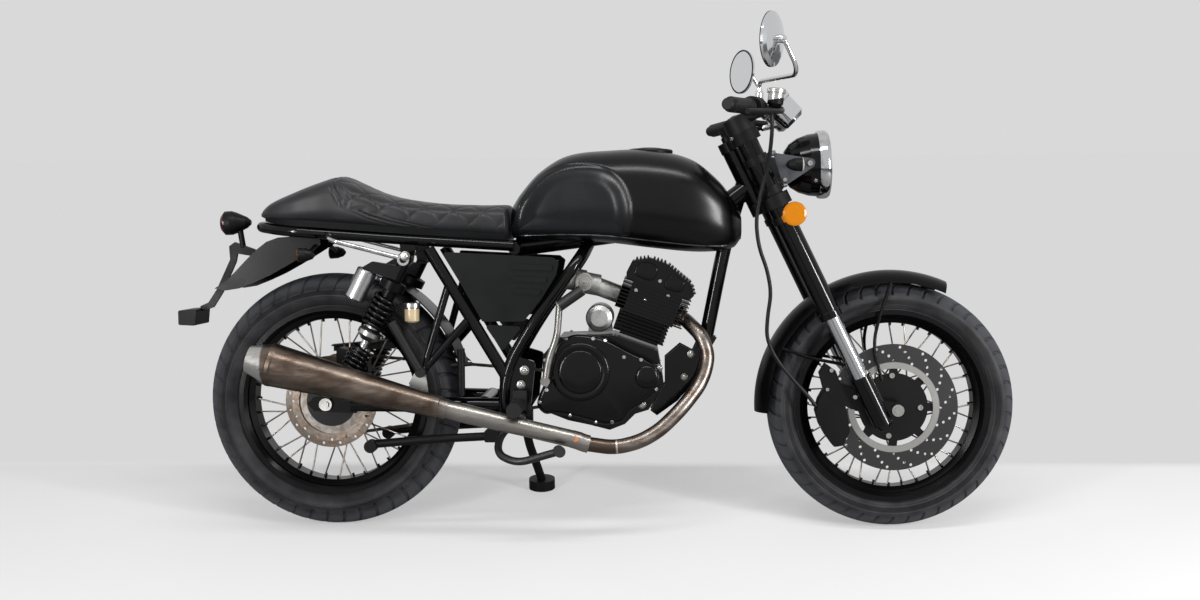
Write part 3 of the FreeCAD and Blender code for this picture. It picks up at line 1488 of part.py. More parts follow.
def make_side_covers():
    """Right and left side panels with their louvre ribs, and the ribbed lower corners."""
    panels = []
    corners = []
    depth = 9
    for side in sides():
        outer = side * num("cover_spread")
        inner = side * (num("cover_spread") - depth)
        low, high = min(outer, inner), max(outer, inner)
        panel = rounded_slab([(283, 666), (540, 652), (554, 641), (548, 611), (512, 553),
                              (472, 503), (375, 503)], low, high, 5)
        ribs = []
        for number in range(3):
            z = 630 - number * 28
            left = 444 + 3 * number
            right = 542 - 14 * number
            ribs.append(rounded_slab([(left, z - 5), (right - 4, z - 9), (right, z + 3),
                                      (left, z + 7)],
                                     min(outer, outer + side * 4), max(outer, outer + side * 4),
                                     3))
        panels.append(joined([panel] + ribs))
        corners.append(rounded_slab([(379, 496), (467, 491), (422, 433)], low, high, 6))
    feature("side_covers", Part.makeCompound(panels + corners))


def make_airbox():
    """The closed box for filter and battery between the side panels."""
    body = new_body("airbox")
    sketch = new_sketch(body, "XZ_Plane", "airbox_side")
    draw_outline(sketch, [(322, 520), (332, 650), (540, 640), (498, 560), (455, 505)])
    pad(body, sketch, 176, both_ways=True)


TAIL_GUARD_OUTLINE = [
    (-20, 704), (-80, 704), (-120, 701), (-148, 691), (-174, 671), (-198, 648), (-222, 623),
    (-246, 599), (-276, 580), (-248, 575), (-216, 580), (-180, 594), (-140, 612), (-100, 634),
    (-60, 658), (-18, 684),
]


def tail_guard_block():
    """The space that the tail's mudguard takes, with its fit."""
    return slab(TAIL_GUARD_OUTLINE, -70 - GAP, 70 + GAP)


def make_rear_fender():
    """The short mudguard under the tail: a hollow arch open below."""
    outer = TAIL_GUARD_OUTLINE
    inner = [(-10, 700.5), (-80, 700.5), (-119, 697.5), (-146, 687.8), (-171.6, 668.3),
             (-195.5, 645.5), (-219.5, 620.5), (-243.5, 596.5), (-262, 583.5), (-300, 520),
             (-60, 520), (0, 660)]
    arch = slab(outer, -70, 70)
    hollow = slab(inner, -66, 66)
    tail_guard = arch.cut(hollow)
    ring = num("rear_tyre_radius") + 14
    wide = 62
    face = Part.Face(Part.makePolygon([Vector(0, -wide, ring), Vector(0, wide, ring),
                                       Vector(0, wide, ring + 3), Vector(0, -wide, ring + 3),
                                       Vector(0, -wide, ring)]))
    face.rotate(Vector(0, 0, 0), Vector(0, 1, 0), 14)
    guard = face.revolve(Vector(0, 0, 0), Vector(0, 1, 0), 62)
    guard.translate(REAR_AXLE)
    feature("rear_fender", Part.makeCompound([tail_guard, guard]))


def make_tail():
    """Tail lamp on its stalk, the number plate's bracket and the rear direction lamps."""
    lamp = turned(at(-206, 0, 738), at(-1, 0, -0.03), [
        (0, 6), (10, 14), (34, 25), (46, 29), (62, 29), (70, 20),
    ])
    feature("tail_lamp", lamp)
    stalk = rod(at(-226, 0, 676), at(-234, 0, 726), 7)
    arm = slab([(-196, 672), (-246, 690), (-260, 680), (-258, 648), (-292, 576), (-314, 543),
                (-334, 534), (-334, 520), (-302, 531), (-278, 568), (-244, 642), (-240, 662),
                (-206, 656)], -5, 5)
    plate_holder = rounded_slab([(-329, 529), (-373, 526), (-373, 491), (-333, 489)], -50, 50, 4)
    bracket = joined([stalk, arm, plate_holder])
    feature("plate_bracket", bracket.cut(lamp).cut(tail_guard_block()))
    lamps = []
    for side in sides():
        lamps.append(joined([
            turned(at(-10, side * 150, 661), at(-1, 0, 0), [
                (0, 3), (6, 10), (20, 15), (34, 16), (40, 16), (42, 12),
            ]),
            rod(at(-30, side * (71.3 + GAP), 680), at(-30, side * 142, 662), 5),
        ]))
    feature("rear_indicators", Part.makeCompound(lamps))


def make_grab_rails():
    rails = []
    for side in sides():
        out = side * (num("shock_spread") + 15 + GAP + 6)
        root = side * (num("rail_spread") + num("rail_tube_radius") + 3)
        rail = bent_tube([at(8, root, 709), at(24, out, 695), at(190, out, 652)], 5.5)
        eye = rod(at(SHOCK_TOP.x, out - side * 6, SHOCK_TOP.z),
                  at(SHOCK_TOP.x, out + side * 6, SHOCK_TOP.z), 14)
        stud = rod(at(SHOCK_TOP.x, -300, SHOCK_TOP.z), at(SHOCK_TOP.x, 300, SHOCK_TOP.z), 8 + GAP)
        rails.append(joined([rail, eye]).cut(stud))
    feature("grab_rails", Part.makeCompound(rails))


def make_bodywork():
    make_tank()
    make_seat()
    make_side_covers()
    make_airbox()
    make_rear_fender()
    make_tail()
    make_grab_rails()


# Foot controls and stands

def make_footrests():
    pegs = []
    folded = []
    for side in sides():
        base = side * (num("cradle_spread") + 6 + GAP)
        bracket = slab([(446, 296), (446, 342), (478, 342), (478, 296)],
                       min(base, base + side * 14), max(base, base + side * 14))
        arm = rod(at(461, base, 314), at(461, side * 168, 313), 9)
        rubber = rod(at(461, side * 166, 313), at(461, side * 262, 313), 17)
        pegs.append(joined([bracket, arm, rubber]))
        out = side * (num("peg_boss_reach") + 4 + 2 * GAP)
        folded.append(joined([rod(at(236, out, 389), at(236, out + side * 20, 389), 12),
                              rod(at(232, out + side * 12, 396), at(170, out + side * 12, 505), 11)]))
    feature("footrests", Part.makeCompound(pegs + folded))


def make_pedals():
    """Brake pedal under the exhaust on the right, gear lever on the left."""
    pedal = bent_tube([at(462, -136, 276), at(416, -142, 240), at(412, -176, 200),
                       at(462, -204, 184), at(556, -210, 212)], 9)
    foot = rod(at(556, -198, 212), at(562, -236, 216), 13)
    boss = rod(at(462, -num("cradle_spread") - 6 - GAP, 276), at(462, -146, 276), 12)
    brake = joined([pedal, foot, boss])
    lever = bent_tube([at(548, 126, 330), at(552, 160, 326), at(610, 176, 300)], 6)
    toe = rod(at(610, 168, 300), at(612, 206, 300), 10)
    gear = joined([lever, toe])
    feature("foot_controls", Part.makeCompound([brake, gear, kick_starter()]))


def make_rear_brake():
    """The rear calliper over the disc, its master cylinder and fluid bottle."""
    disc = num("disc_offset")
    body = rounded_slab([(20, 386), (20, 440), (92, 424), (96, 376)], -disc - 24, -disc + 20, 8)
    slot = rod(REAR_AXLE + Vector(0, -disc - num("disc_thickness") / 2 - 2, 0),
               REAR_AXLE + Vector(0, -disc + num("disc_thickness") / 2 + 2, 0),
               num("rear_disc_radius") + 4)
    bracket = slab([(66, 380), (88, 372), (84, 326), (60, 326)], -disc - 24, -disc - 18)
    hub_space = rod(REAR_AXLE + Vector(0, -disc, 0), REAR_AXLE,
                    num("rear_disc_inner_radius") + 14)
    shape = joined([body, bracket]).cut(slot).cut(hub_space)
    pump = joined([rod(at(324, -126, 440), at(324, -126, 330), 9),
                   rod(at(300, -126, 400), at(350, -126, 404), 5)])
    bottle = turned(at(207, -110, 500), at(0, 0, 1), [(0, 10), (4, 17), (34, 17), (36, 20),
                                                      (46, 20)])
    feature("rear_brake", Part.makeCompound([shape, pump, bottle]))


def ground(x, y):
    """The upright machine's point that meets the floor at this place once it leans."""
    return LEANED.inverse().multVec(Vector(x, y, 0))


def make_side_stand():
    """The deployed side stand, its pad flat on the floor."""
    pad_centre = ground(num("stand_foot_x"), num("stand_foot_y"))
    up = LEANED.inverse().Rotation.multVec(Vector(0, 0, 1))
    pad_top = pad_centre + up * num("stand_pad_height")
    puck = Part.makeCylinder(num("stand_pad_radius"), num("stand_pad_height"), pad_centre, up)
    leg = bent_tube([STAND_PIVOT + Vector(0, 20, -6), STAND_PIVOT + Vector(6, 42, -60),
                     pad_top + up * -4], 11)
    eye = rod(STAND_PIVOT + Vector(0, 8 + GAP, 0), STAND_PIVOT + Vector(0, 28, 0), 17)
    shape = joined([puck, leg, eye])
    bore = rod(STAND_PIVOT - Vector(0, 40, 0), STAND_PIVOT + Vector(0, 40, 0), 8 + GAP)
    feature("side_stand", shape.cut(bore))


def make_centre_stand():
    """The centre stand folded up under the swingarm."""
    pieces = []
    for side in sides():
        y = side * 101
        pieces.append(bent_tube([CENTRE_PIVOT + Vector(0, y, 0), at(240, y, 222),
                                 at(104, y, 210)], 10))
        pieces.append(rod(at(104, side * 90, 206), at(104, side * 116, 206), 15))
    pieces.append(rod(CENTRE_PIVOT + Vector(0, -112, 0), CENTRE_PIVOT + Vector(0, 112, 0), 12))
    bore = rod(CENTRE_PIVOT + Vector(0, -140, 0), CENTRE_PIVOT + Vector(0, 140, 0), 8 + GAP)
    feature("centre_stand", joined(pieces).cut(bore))


def make_running_gear():
    make_footrests()
    make_pedals()
    make_rear_brake()
    make_side_stand()
    make_centre_stand()


def check_document():
    """Stop if any object failed, or any sub-part's shape is empty or invalid."""
    for item in doc.Objects:
        if "Invalid" in item.State or "Error" in item.State:
            raise RuntimeError("%s failed: %s" % (item.Name, item.State))
    for node in nodes:
        if node.Shape.isNull() or not node.Shape.isValid():
            raise RuntimeError("%s has no valid shape" % node.Label)


def centre_on_origin():
    """Move the whole machine so that its footprint's middle is the origin."""
    box = FreeCAD.BoundBox()
    for node in nodes:
        box.add(node.Shape.BoundBox)
    shift = Vector(-box.Center.x, -box.Center.y, 0)
    for node in nodes:
        node.Placement = Placement(shift, Rotation()).multiply(node.Placement)
    return shift


make_wheels()
make_steering()
make_frame()
make_engine()
make_bodywork()
make_running_gear()
doc.recompute()
check_document()
SHIFT = centre_on_origin()
doc.recompute()
check_document()
print("zero point below the rear axle, in the row frame: %.3f, %.3f" % (SHIFT.x, SHIFT.y))
for node in nodes:
    node.Shape.exportStep("parts/%s.step" % node.Label)
print("%d sub-parts written" % len(nodes))
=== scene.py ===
# %% [markdown]
# # A cafe racer motorcycle
# The metal of this motorcycle comes from a CAD model that is loaded as a fixed frame. This lesson
# dresses it: paint, chrome, leather and rubber, and the pieces that are easier to shape in Blender
# than in CAD, such as the treaded tyres, the quilted seat, the fuel tank's soft panels, the chain
# and the wound springs. Every cell makes one thing and prints what it made.

import json
import math

import bmesh
import bpy
from mathutils import Matrix, Vector
from mathutils.bvhtree import BVHTree


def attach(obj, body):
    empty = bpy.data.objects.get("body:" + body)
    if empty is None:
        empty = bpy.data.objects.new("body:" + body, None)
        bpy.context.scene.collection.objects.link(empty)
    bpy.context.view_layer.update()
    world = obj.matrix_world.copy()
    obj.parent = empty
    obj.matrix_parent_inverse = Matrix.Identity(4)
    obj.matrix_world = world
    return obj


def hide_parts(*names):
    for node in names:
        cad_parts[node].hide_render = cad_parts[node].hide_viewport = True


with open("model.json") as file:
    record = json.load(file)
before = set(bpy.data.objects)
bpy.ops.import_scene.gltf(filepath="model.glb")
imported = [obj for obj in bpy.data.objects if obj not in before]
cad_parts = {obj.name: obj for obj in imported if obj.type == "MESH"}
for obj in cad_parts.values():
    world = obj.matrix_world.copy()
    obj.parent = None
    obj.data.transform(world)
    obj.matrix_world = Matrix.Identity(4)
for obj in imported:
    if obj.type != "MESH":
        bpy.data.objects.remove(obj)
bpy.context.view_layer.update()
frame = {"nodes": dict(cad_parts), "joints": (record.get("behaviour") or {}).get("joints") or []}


def placed(name, data):
    """A new object of the scene."""
    thing = bpy.data.objects.new(name, data)
    bpy.context.scene.collection.objects.link(thing)
    return thing


# %% [markdown]
# ## The motorcycle's own directions
# The machine leans on its side stand, so its own axes are tilted against the world. Every place in
# this lesson is easier to read on the upright machine: x forwards from the rear axle, y to its
# left, z up from the ground, all in millimetres. The rear wheel's joint gives the axle's place and
# the direction across the machine, and those two are enough to build the whole tilt.

# %% Directions from the rear wheel's joint
JOINTS = {joint["name"]: joint for joint in frame["joints"]}
REAR_RADIUS = 307
FRONT_RADIUS = 293
WHEELBASE = 1340
CROWN_RADIUS = 60
CYLINDER_TILT = 19.7
REAR_AXLE = Vector(JOINTS["rear_wheel_spin"]["pos_m"])
ACROSS = Vector(JOINTS["rear_wheel_spin"]["axis"]).normalized()
AHEAD = Vector((1, 0, 0))
UPRIGHT = AHEAD.cross(ACROSS)
LEAN = math.atan2(-ACROSS.z, ACROSS.y)
MM = 0.001
RIGHT, LEFT = -1, 1
SIDES = ((RIGHT, "right"), (LEFT, "left"))

tilt = Matrix((AHEAD, ACROSS, UPRIGHT)).transposed().to_4x4()
BIKE = (Matrix.Translation(REAR_AXLE) @ tilt @ Matrix.Scale(MM, 4)
        @ Matrix.Translation((0, 0, -REAR_RADIUS)))


def bike(x, y, z):
    """A place on the upright machine, in millimetres, as a place in the scene."""
    return BIKE @ Vector((x, y, z))


print("lean", round(math.degrees(LEAN), 2), "front axle", bike(WHEELBASE, 0, FRONT_RADIUS))

# %% [markdown]
# ## The camera
# The photograph was taken from the right with a moderately long lens, a little above the tank and
# looking slightly down. The place and angles below were worked out from the wheel centres and the
# fork, and they are given from the point on the ground below the rear axle.

# %% Camera
CAMERA_PLACE = Vector((0.7669, -2.9346, 1.1792))
CAMERA_YAW = math.radians(2.32)
CAMERA_PITCH = math.radians(-11.99)
CAMERA_ROLL = math.radians(0.67)
FOCAL_PIXELS = 1271.1
PHOTO_WIDTH, PHOTO_HEIGHT = 1200, 600
SENSOR = 36

ground_zero = REAR_AXLE.copy()
ground_zero.y -= (REAR_RADIUS - CROWN_RADIUS) * MM * math.sin(LEAN)
ground_zero.z = 0

lens = bpy.data.cameras.new("photo_camera")
lens.sensor_width = SENSOR
lens.lens = FOCAL_PIXELS * SENSOR / PHOTO_WIDTH
camera = placed("photo_camera", lens)
aim = (Matrix.Rotation(CAMERA_YAW, 4, "Z") @ Matrix.Rotation(CAMERA_PITCH, 4, "X")
       @ Matrix.Rotation(CAMERA_ROLL, 4, "Y") @ Matrix.Rotation(math.pi / 2, 4, "X"))
camera.matrix_world = Matrix.Translation(ground_zero + CAMERA_PLACE) @ aim
bpy.context.scene.camera = camera
bpy.context.scene.view_settings.view_transform = "Standard"
print("camera", camera.location, "lens", round(lens.lens, 2))

# %% [markdown]
# ## Nodes for materials
# A procedural material is a tree of nodes. One small function adds a node and fills its sockets,
# with numbers or with what comes out of other nodes, and a second one starts a material around a
# Principled shader with the object's own coordinates ready to use. Colours are written as sRGB hex
# values, the way a colour picker shows them, and turned to the linear values that the renderer
# works in.

# %% Helpers for materials
def linear(hex_colour):
    """An sRGB hex value as linear red, green, blue and alpha."""
    channels = []
    for start in (0, 2, 4):
        value = int(hex_colour[start:start + 2], 16) / 255
        if value <= 0.04045:
            channels.append(value / 12.92)
        else:
            channels.append(((value + 0.055) / 1.055) ** 2.4)
    return (*channels, 1.0)


def fill(tree, socket, value):
    """Fills a socket with a value, a hex colour or another node's output."""
    if isinstance(value, bpy.types.NodeSocket):
        tree.links.new(value, socket)
    elif socket.type == "RGBA" and isinstance(value, str):
        socket.default_value = linear(value)
    else:
        socket.default_value = value


def add_node(tree, kind, sockets=None, **settings):
    """Adds a node: settings are its attributes, and sockets says what fills its inputs."""
    made = tree.nodes.new(kind)
    for name, value in settings.items():
        setattr(made, name, value)
    for socket, value in (sockets or {}).items():
        fill(tree, made.inputs[socket], value)
    return made


def calculate(tree, operation, *terms):
    """One step of arithmetic on numbers and other nodes' outputs."""
    return add_node(tree, "ShaderNodeMath", dict(enumerate(terms)),
                    operation=operation).outputs["Value"]


def waves(tree, value, rate):
    """Sine waves of a value."""
    return calculate(tree, "SINE", calculate(tree, "MULTIPLY", value, rate))


def start_material(name, colour, roughness, metallic=0.0, gloss=0.5, **sockets):
    """A material with one Principled shader, and the object's coordinates to draw with."""
    material = bpy.data.materials.new(name)
    material.use_nodes = True
    tree = material.node_tree
    tree.nodes.clear()
    shader = add_node(tree, "ShaderNodeBsdfPrincipled", {
        "Base Color": colour, "Roughness": roughness, "Metallic": metallic,
        "Specular IOR Level": gloss})
    for socket, value in sockets.items():
        shader.inputs[socket.replace("_", " ").title()].default_value = value
    add_node(tree, "ShaderNodeOutputMaterial", {"Surface": shader.outputs["BSDF"]})
    place = add_node(tree, "ShaderNodeTexCoord").outputs["Object"]
    return material, tree, shader, place


def grain(tree, place, size_mm, detail=2.0, stretch=(1, 1, 1)):
    """Noise whose blobs are about so many millimetres wide."""
    scaled = add_node(tree, "ShaderNodeMapping", {"Vector": place, "Scale": stretch})
    return add_node(tree, "ShaderNodeTexNoise", {
        "Vector": scaled.outputs["Vector"], "Scale": 1000 / size_mm,
        "Detail": detail}).outputs["Fac"]


def spread(tree, value, low, high, at_low=0.3, at_high=0.7):
    """Turns a noise value into a range of numbers."""
    return add_node(tree, "ShaderNodeMapRange", {
        "Value": value, "From Min": at_low, "From Max": at_high, "To Min": low,
        "To Max": high}).outputs["Result"]


def of_colour(sockets):
    """The colour sockets of a Mix node, which has a set for each kind of value."""
    return [socket for socket in sockets if socket.type == "RGBA"]


def mix_colours(tree, share, first, second):
    """Blends two colours; each is a hex value or a node's output."""
    blend = add_node(tree, "ShaderNodeMix", {"Factor": share}, data_type="RGBA")
    for socket, colour in zip(of_colour(blend.inputs), (first, second)):
        fill(tree, socket, colour)
    return of_colour(blend.outputs)[0]


def emboss(tree, shader, height, depth_mm):
    """Raises the surface by a height pattern of so many millimetres."""
    bump = add_node(tree, "ShaderNodeBump", {
        "Height": height, "Strength": 1.0, "Distance": depth_mm * MM})
    tree.links.new(bump.outputs["Normal"], shader.inputs["Normal"])


def from_point(tree, place, origin=(0, 0, 0), keep=(1000, 1000, 1000)):
    """The way from a point of the upright machine, in its own directions and millimetres."""
    centred = add_node(tree, "ShaderNodeMapping", {
        "Vector": place, "Location": bike(*origin), "Rotation": (-LEAN, 0, 0)},
        vector_type="TEXTURE")
    return add_node(tree, "ShaderNodeVectorMath", {0: centred.outputs["Vector"], 1: keep},
                    operation="MULTIPLY").outputs["Vector"]


def length_of(tree, way):
    return add_node(tree, "ShaderNodeVectorMath", {0: way}, operation="LENGTH").outputs["Value"]


def from_axle(tree, place, axle):
    """The distance from a wheel's axle line, in millimetres, for patterns that run round it."""
    flat = from_point(tree, place, axle, (1000, 0, 1000))
    return length_of(tree, flat), flat


# %% [markdown]
# ## Two finishes on one piece
# Many pieces of the CAD model are one node made of several materials: a black lever bracket with a
# silver reservoir, a dark shock absorber with a chrome shaft. A zone is the part of a piece that
# lies near a point, or beyond a plane, or between two planes. Its share is one inside and nought
# outside, and the other finish is laid over the first one by that share. Each zone below is a
# function of a material's tree, so that one list can name the zones of a piece.

# %% Helpers for zones
def along_way(tree, place, origin, way):
    """How many millimetres a point lies along a direction from an origin."""
    return add_node(tree, "ShaderNodeVectorMath", {
        0: from_point(tree, place, origin), 1: Vector(way).normalized()},
        operation="DOT_PRODUCT").outputs["Value"]


def between(tree, value, low, high, soft=0.5):
    """One where a value lies between two limits."""
    return calculate(tree, "MULTIPLY", spread(tree, value, 0, 1, low - soft, low + soft),
                     spread(tree, value, 1, 0, high - soft, high + soft))


def ball(centre, radius_mm):
    """The zone within a distance of a point."""
    return lambda tree, place: spread(tree, length_of(tree, from_point(tree, place, centre)), 1, 0,
                                      radius_mm - 0.5, radius_mm + 0.5)


def stretch(way, low, high, origin=(0, 0, 0)):
    """The zone between two distances along a direction."""
    return lambda tree, place: between(tree, along_way(tree, place, origin, way), low, high)


def beyond(way, distance, origin=(0, 0, 0)):
    """The zone past a distance along a direction."""
    return lambda tree, place: spread(tree, along_way(tree, place, origin, way), 0, 1,
                                      distance - 1, distance + 1)


def both(first, second):
    """The zone that two zones share."""
    return lambda tree, place: calculate(tree, "MULTIPLY", first(tree, place),
                                         second(tree, place))


def fed_by(socket):
    """What feeds a socket: another node's output or its own value."""
    return socket.links[0].from_socket if socket.is_linked else socket.default_value


def lay_over(tree, shader, share, colour, roughness, metallic=1.0):
    """Lays another finish over the part of a piece where the share is one."""
    for name, value in (("Roughness", roughness), ("Metallic", metallic)):
        blend = add_node(tree, "ShaderNodeMix", {
            "Factor": share, "A": fed_by(shader.inputs[name]), "B": value})
        tree.links.new(blend.outputs["Result"], shader.inputs[name])
    base = shader.inputs["Base Color"]
    tree.links.new(mix_colours(tree, share, fed_by(base), colour), base)


def zoned(name, base, zones):
    """A finish with others laid over it: each entry is a zone and a finish."""
    material = base.copy()
    material.name = name
    tree = material.node_tree
    shader = [n for n in tree.nodes if n.type == "BSDF_PRINCIPLED"][0]
    place = [n for n in tree.nodes if n.type == "TEX_COORD"][0].outputs["Object"]
    for zone, finish in zones:
        lay_over(tree, shader, zone(tree, place), *finish)
    return material


# %% [markdown]
# ## Paints
# Most of the machine is black, so the blacks must differ. The frame and rims are gloss enamel,
# baked hard, with a faint orange-peel ripple about 2 mm wide. The tank is satin two-pack paint: it
# spreads a lamp into a soft patch. Brackets, yokes and stands are powder coated, a thicker and
# pebbled skin. All of them carry a little dust, which shows as a duller patch, not as a colour.
# A deep black needs a low specular level: at the usual one it mirrors enough of a pale studio to
# look charcoal.

# %% Paints
def paint(name, colour, roughness, ripple_mm, ripple_depth, gloss=0.2):
    material, tree, shader, place = start_material(name, colour, roughness, gloss=gloss)
    dust = grain(tree, place, 90, 4)
    dull = spread(tree, dust, roughness * 0.85, min(1.0, roughness * 1.35))
    tree.links.new(dull, shader.inputs["Roughness"])
    emboss(tree, shader, grain(tree, place, ripple_mm), ripple_depth)
    return material


enamel = paint("gloss_enamel", "040405", 0.12, 2.2, 0.012, 0.26)
rim_enamel = paint("rim_enamel", "060607", 0.16, 2.5, 0.01, 0.2)
powder_coat = paint("powder_coat", "0A0A0B", 0.42, 0.9, 0.03, 0.14)
engine_enamel = paint("engine_enamel", "030304", 0.17, 1.8, 0.02, 0.26)
fin_paint = paint("barrel_paint", "040405", 0.3, 0.7, 0.05, 0.16)
panel_plastic = paint("moulded_panel", "08090A", 0.42, 0.6, 0.02, 0.16)
satin_cap = paint("satin_cap_paint", "0C0C0D", 0.36, 1.6, 0.01, 0.2)
fender_paint = paint("mudguard_paint", "060607", 0.24, 1.5, 0.01, 0.1)

# %% [markdown]
# ## Bare and plated metals
# Chrome is a mirror with almost no roughness. Cast aluminium keeps the skin of its sand mould, a
# pebble of about a millimetre. Turned and brushed parts have fine lines the way the tool ran, here
# drawn as noise stretched along one direction.

# %% Metals
def metal(name, colour, roughness, skin_mm=1.0, skin_depth=0.0, stain=None):
    material, tree, shader, place = start_material(name, colour, roughness, 1.0)
    wear = grain(tree, place, 60, 5)
    tree.links.new(spread(tree, wear, roughness * 0.7, roughness * 1.4),
                   shader.inputs["Roughness"])
    if stain:
        patches = spread(tree, grain(tree, place, 22, 6), 0, 1, 0.5, 0.75)
        tree.links.new(mix_colours(tree, patches, colour, stain), shader.inputs["Base Color"])
    if skin_depth:
        emboss(tree, shader, grain(tree, place, skin_mm, 3), skin_depth)
    return material


chrome = metal("chrome_plate", "D2D3D5", 0.07, stain="A5A29C")
mirror_chrome = metal("mirror_shell_chrome", "DEDFE1", 0.1)
fork_chrome = metal("hard_chrome", "C4C5C7", 0.12)
cast_alloy = metal("cast_aluminium", "A4A4A2", 0.42, 1.1, 0.12, stain="7E7B75")
zinc = metal("zinc_plated_steel", "94938F", 0.33, stain="6A665F")
bright_bolt = metal("bolt_steel", "B9B8B4", 0.25)
chain_steel = metal("oiled_chain_steel", "4A443C", 0.38, stain="2B2723")
# Lighter grey steel for the tank's seam, a painted highlight: it paints the bright line along the
# seam.
seam_highlight_steel = metal("seam_painted_highlight_steel", "57585B", 0.3, stain="1A1A1B")
black_steel = metal("blackened_steel", "1B1B1C", 0.4)
mirror_glass = metal("silvered_glass", "E6E7E8", 0.02)


def brushed(name, colour, roughness, line_mm, direction):
    """Metal with fine lines along one direction."""
    material, tree, shader, place = start_material(name, colour, roughness, 1.0)
    lines = grain(tree, place, line_mm, 2, direction)
    tree.links.new(spread(tree, lines, roughness * 0.6, roughness * 1.5),
                   shader.inputs["Roughness"])
    emboss(tree, shader, lines, 0.02)
    return material


reservoir_metal = brushed("brushed_aluminium", "BDBDBE", 0.26, 3, (1, 1, 14))

# %% [markdown]
# ## Hubs and discs
# A wheel's hub is painted and its spokes are bare steel, and the inner part of a disc has another
# shade of steel than the ring where the pads rub. Both change with the distance from the axle, so
# the colour is read from that distance, and the turning marks on a disc are rings of the same
# distance.

# %% Round materials
TURNING_MARKS = 9.0  # radians of a wave a millimetre


def hub_finish(name, axle, edge_mm, carrier_from=200):
    """Black within a radius and on the disc's carrier, bare steel elsewhere."""
    material, tree, shader, place = start_material(name, "0A0A0B", 0.3, gloss=0.25)
    radius = from_axle(tree, place, axle)[0]
    out = along_way(tree, place, axle, (0, -1, 0))
    bare = calculate(tree, "MULTIPLY", spread(tree, radius, 0, 1, edge_mm, edge_mm + 1),
                     spread(tree, out, 1, 0, carrier_from - 0.5, carrier_from + 0.5))
    steel = mix_colours(tree, spread(tree, grain(tree, place, 14, 3), 0, 1), "9A9691", "6E655C")
    tree.links.new(mix_colours(tree, bare, "0A0A0B", steel), shader.inputs["Base Color"])
    tree.links.new(bare, shader.inputs["Metallic"])
    return material


def disc_finish(name, axle, bright_to, dark, light, rust=None):
    """One colour up to a radius and another beyond it, with the marks of turning."""
    material, tree, shader, place = start_material(name, dark, 0.3, 1.0)
    radius = from_axle(tree, place, axle)[0]
    outer = spread(tree, radius, 0, 1, bright_to - 1, bright_to + 1)
    colour = mix_colours(tree, outer, light, dark)
    if rust:
        spots = spread(tree, grain(tree, place, 9, 6), 0, 0.85, 0.45, 0.65)
        colour = mix_colours(tree, spots, colour, rust)
    tree.links.new(colour, shader.inputs["Base Color"])
    emboss(tree, shader, waves(tree, radius, TURNING_MARKS), 0.015)
    return material


FRONT_AXLE_PLACE = (WHEELBASE, 0, FRONT_RADIUS)
REAR_AXLE_PLACE = (0, 0, REAR_RADIUS)
front_hub_finish = hub_finish("front_hub_paint", FRONT_AXLE_PLACE, 82, 50)
rear_hub_finish = hub_finish("rear_hub_paint", REAR_AXLE_PLACE, 60)
front_disc_finish = disc_finish("front_disc_steel", FRONT_AXLE_PLACE, 107, "4C4C4D", "B4B3B0")
rear_disc_finish = disc_finish("rear_disc_steel", REAR_AXLE_PLACE, 95, "5C5954", "777068",
                               rust="6A4A34")

# %% [markdown]
# ## Exhaust steel
# The silencer is stainless sheet that heat and road dirt have turned brown, with brushing along
# its length, rust freckles, and a tip that stayed bright. The header is browner near the engine,
# where it is hottest. Along the machine's length those zones are known places, so the colour is
# read from the x coordinate.

# %% Exhaust steel
RUST_PLACE = (594, -199, 241)


def exhaust_finish(name, clean, tinted, bright_zones, stain_mm):
    material, tree, shader, place = start_material(name, tinted, 0.33, 1.0)
    along = add_node(tree, "ShaderNodeSeparateXYZ", {"Vector": place}).outputs["X"]
    patches = spread(tree, grain(tree, place, stain_mm, 6, (0.4, 1, 1)), 0, 1, 0.38, 0.62)
    colour = mix_colours(tree, patches, clean, tinted)
    for start, end, zone_colour in bright_zones:
        low, high = bike(start, 0, 0).x, bike(end, 0, 0).x
        colour = mix_colours(tree, spread(tree, along, 0, 0.9, low, high), colour, zone_colour)
    freckles = spread(tree, grain(tree, place, 5, 8), 0, 0.8, 0.66, 0.74)
    colour = mix_colours(tree, freckles, colour, "7A4A28")
    tree.links.new(colour, shader.inputs["Base Color"])
    lines = grain(tree, place, 4, 3, (0.12, 1, 1))
    tree.links.new(spread(tree, lines, 0.26, 0.42), shader.inputs["Roughness"])
    emboss(tree, shader, lines, 0.006)
    return material


silencer_steel = exhaust_finish("heat_tinted_sheet", "71665D", "4C4038",
                                [(-112, -116, "BDBCB9"), (270, 330, "98948F")], 34)
header_steel = exhaust_finish("heat_tinted_tube", "7F7771", "5D5148",
                              [(687, 685, "574A40")], 26)
silencer_finish = zoned("heat_tinted_sheet_with_hanger", silencer_steel, [
    (both(stretch((1, 0, 0), 196, 270), beyond((0, 1, 0), -158)), ("A5A5A3", 0.36))])
header_finish = zoned("heat_tinted_tube_with_weld", header_steel, [
    (stretch((1, 0, 0.08), 702, 706), ("CFC9BE", 0.3))])
joint_finish = zoned("rusty_joint_sleeve", silencer_steel, [
    (ball(RUST_PLACE, 8.5), ("B8651F", 0.6, 0.25))])

# %% [markdown]
# ## Rubber, leather and glass
# Tyre rubber is a dull near-black with a fine tooth. Its side wall has a band of fine slanted
# ridges between two moulded rings, drawn by the angle round the axle and the distance from it. The
# outer part of the tyre, its tread, is painted a lighter blue-grey: a painted sheen. The seat is
# black leather, pebbled at about 1.5 mm, with a soft sheen on its rounded edges.

# %% Soft and clear materials
RIDGE_RATE = 340.0  # ridges round the tyre
RIDGE_SLANT = 0.02  # radians a millimetre


def chalky(tree, place, clean, chalked):
    """A colour with paler patches, the way rubber dries."""
    patches = spread(tree, grain(tree, place, 45, 5), 0, 1, 0.35, 0.75)
    return mix_colours(tree, patches, clean, chalked)


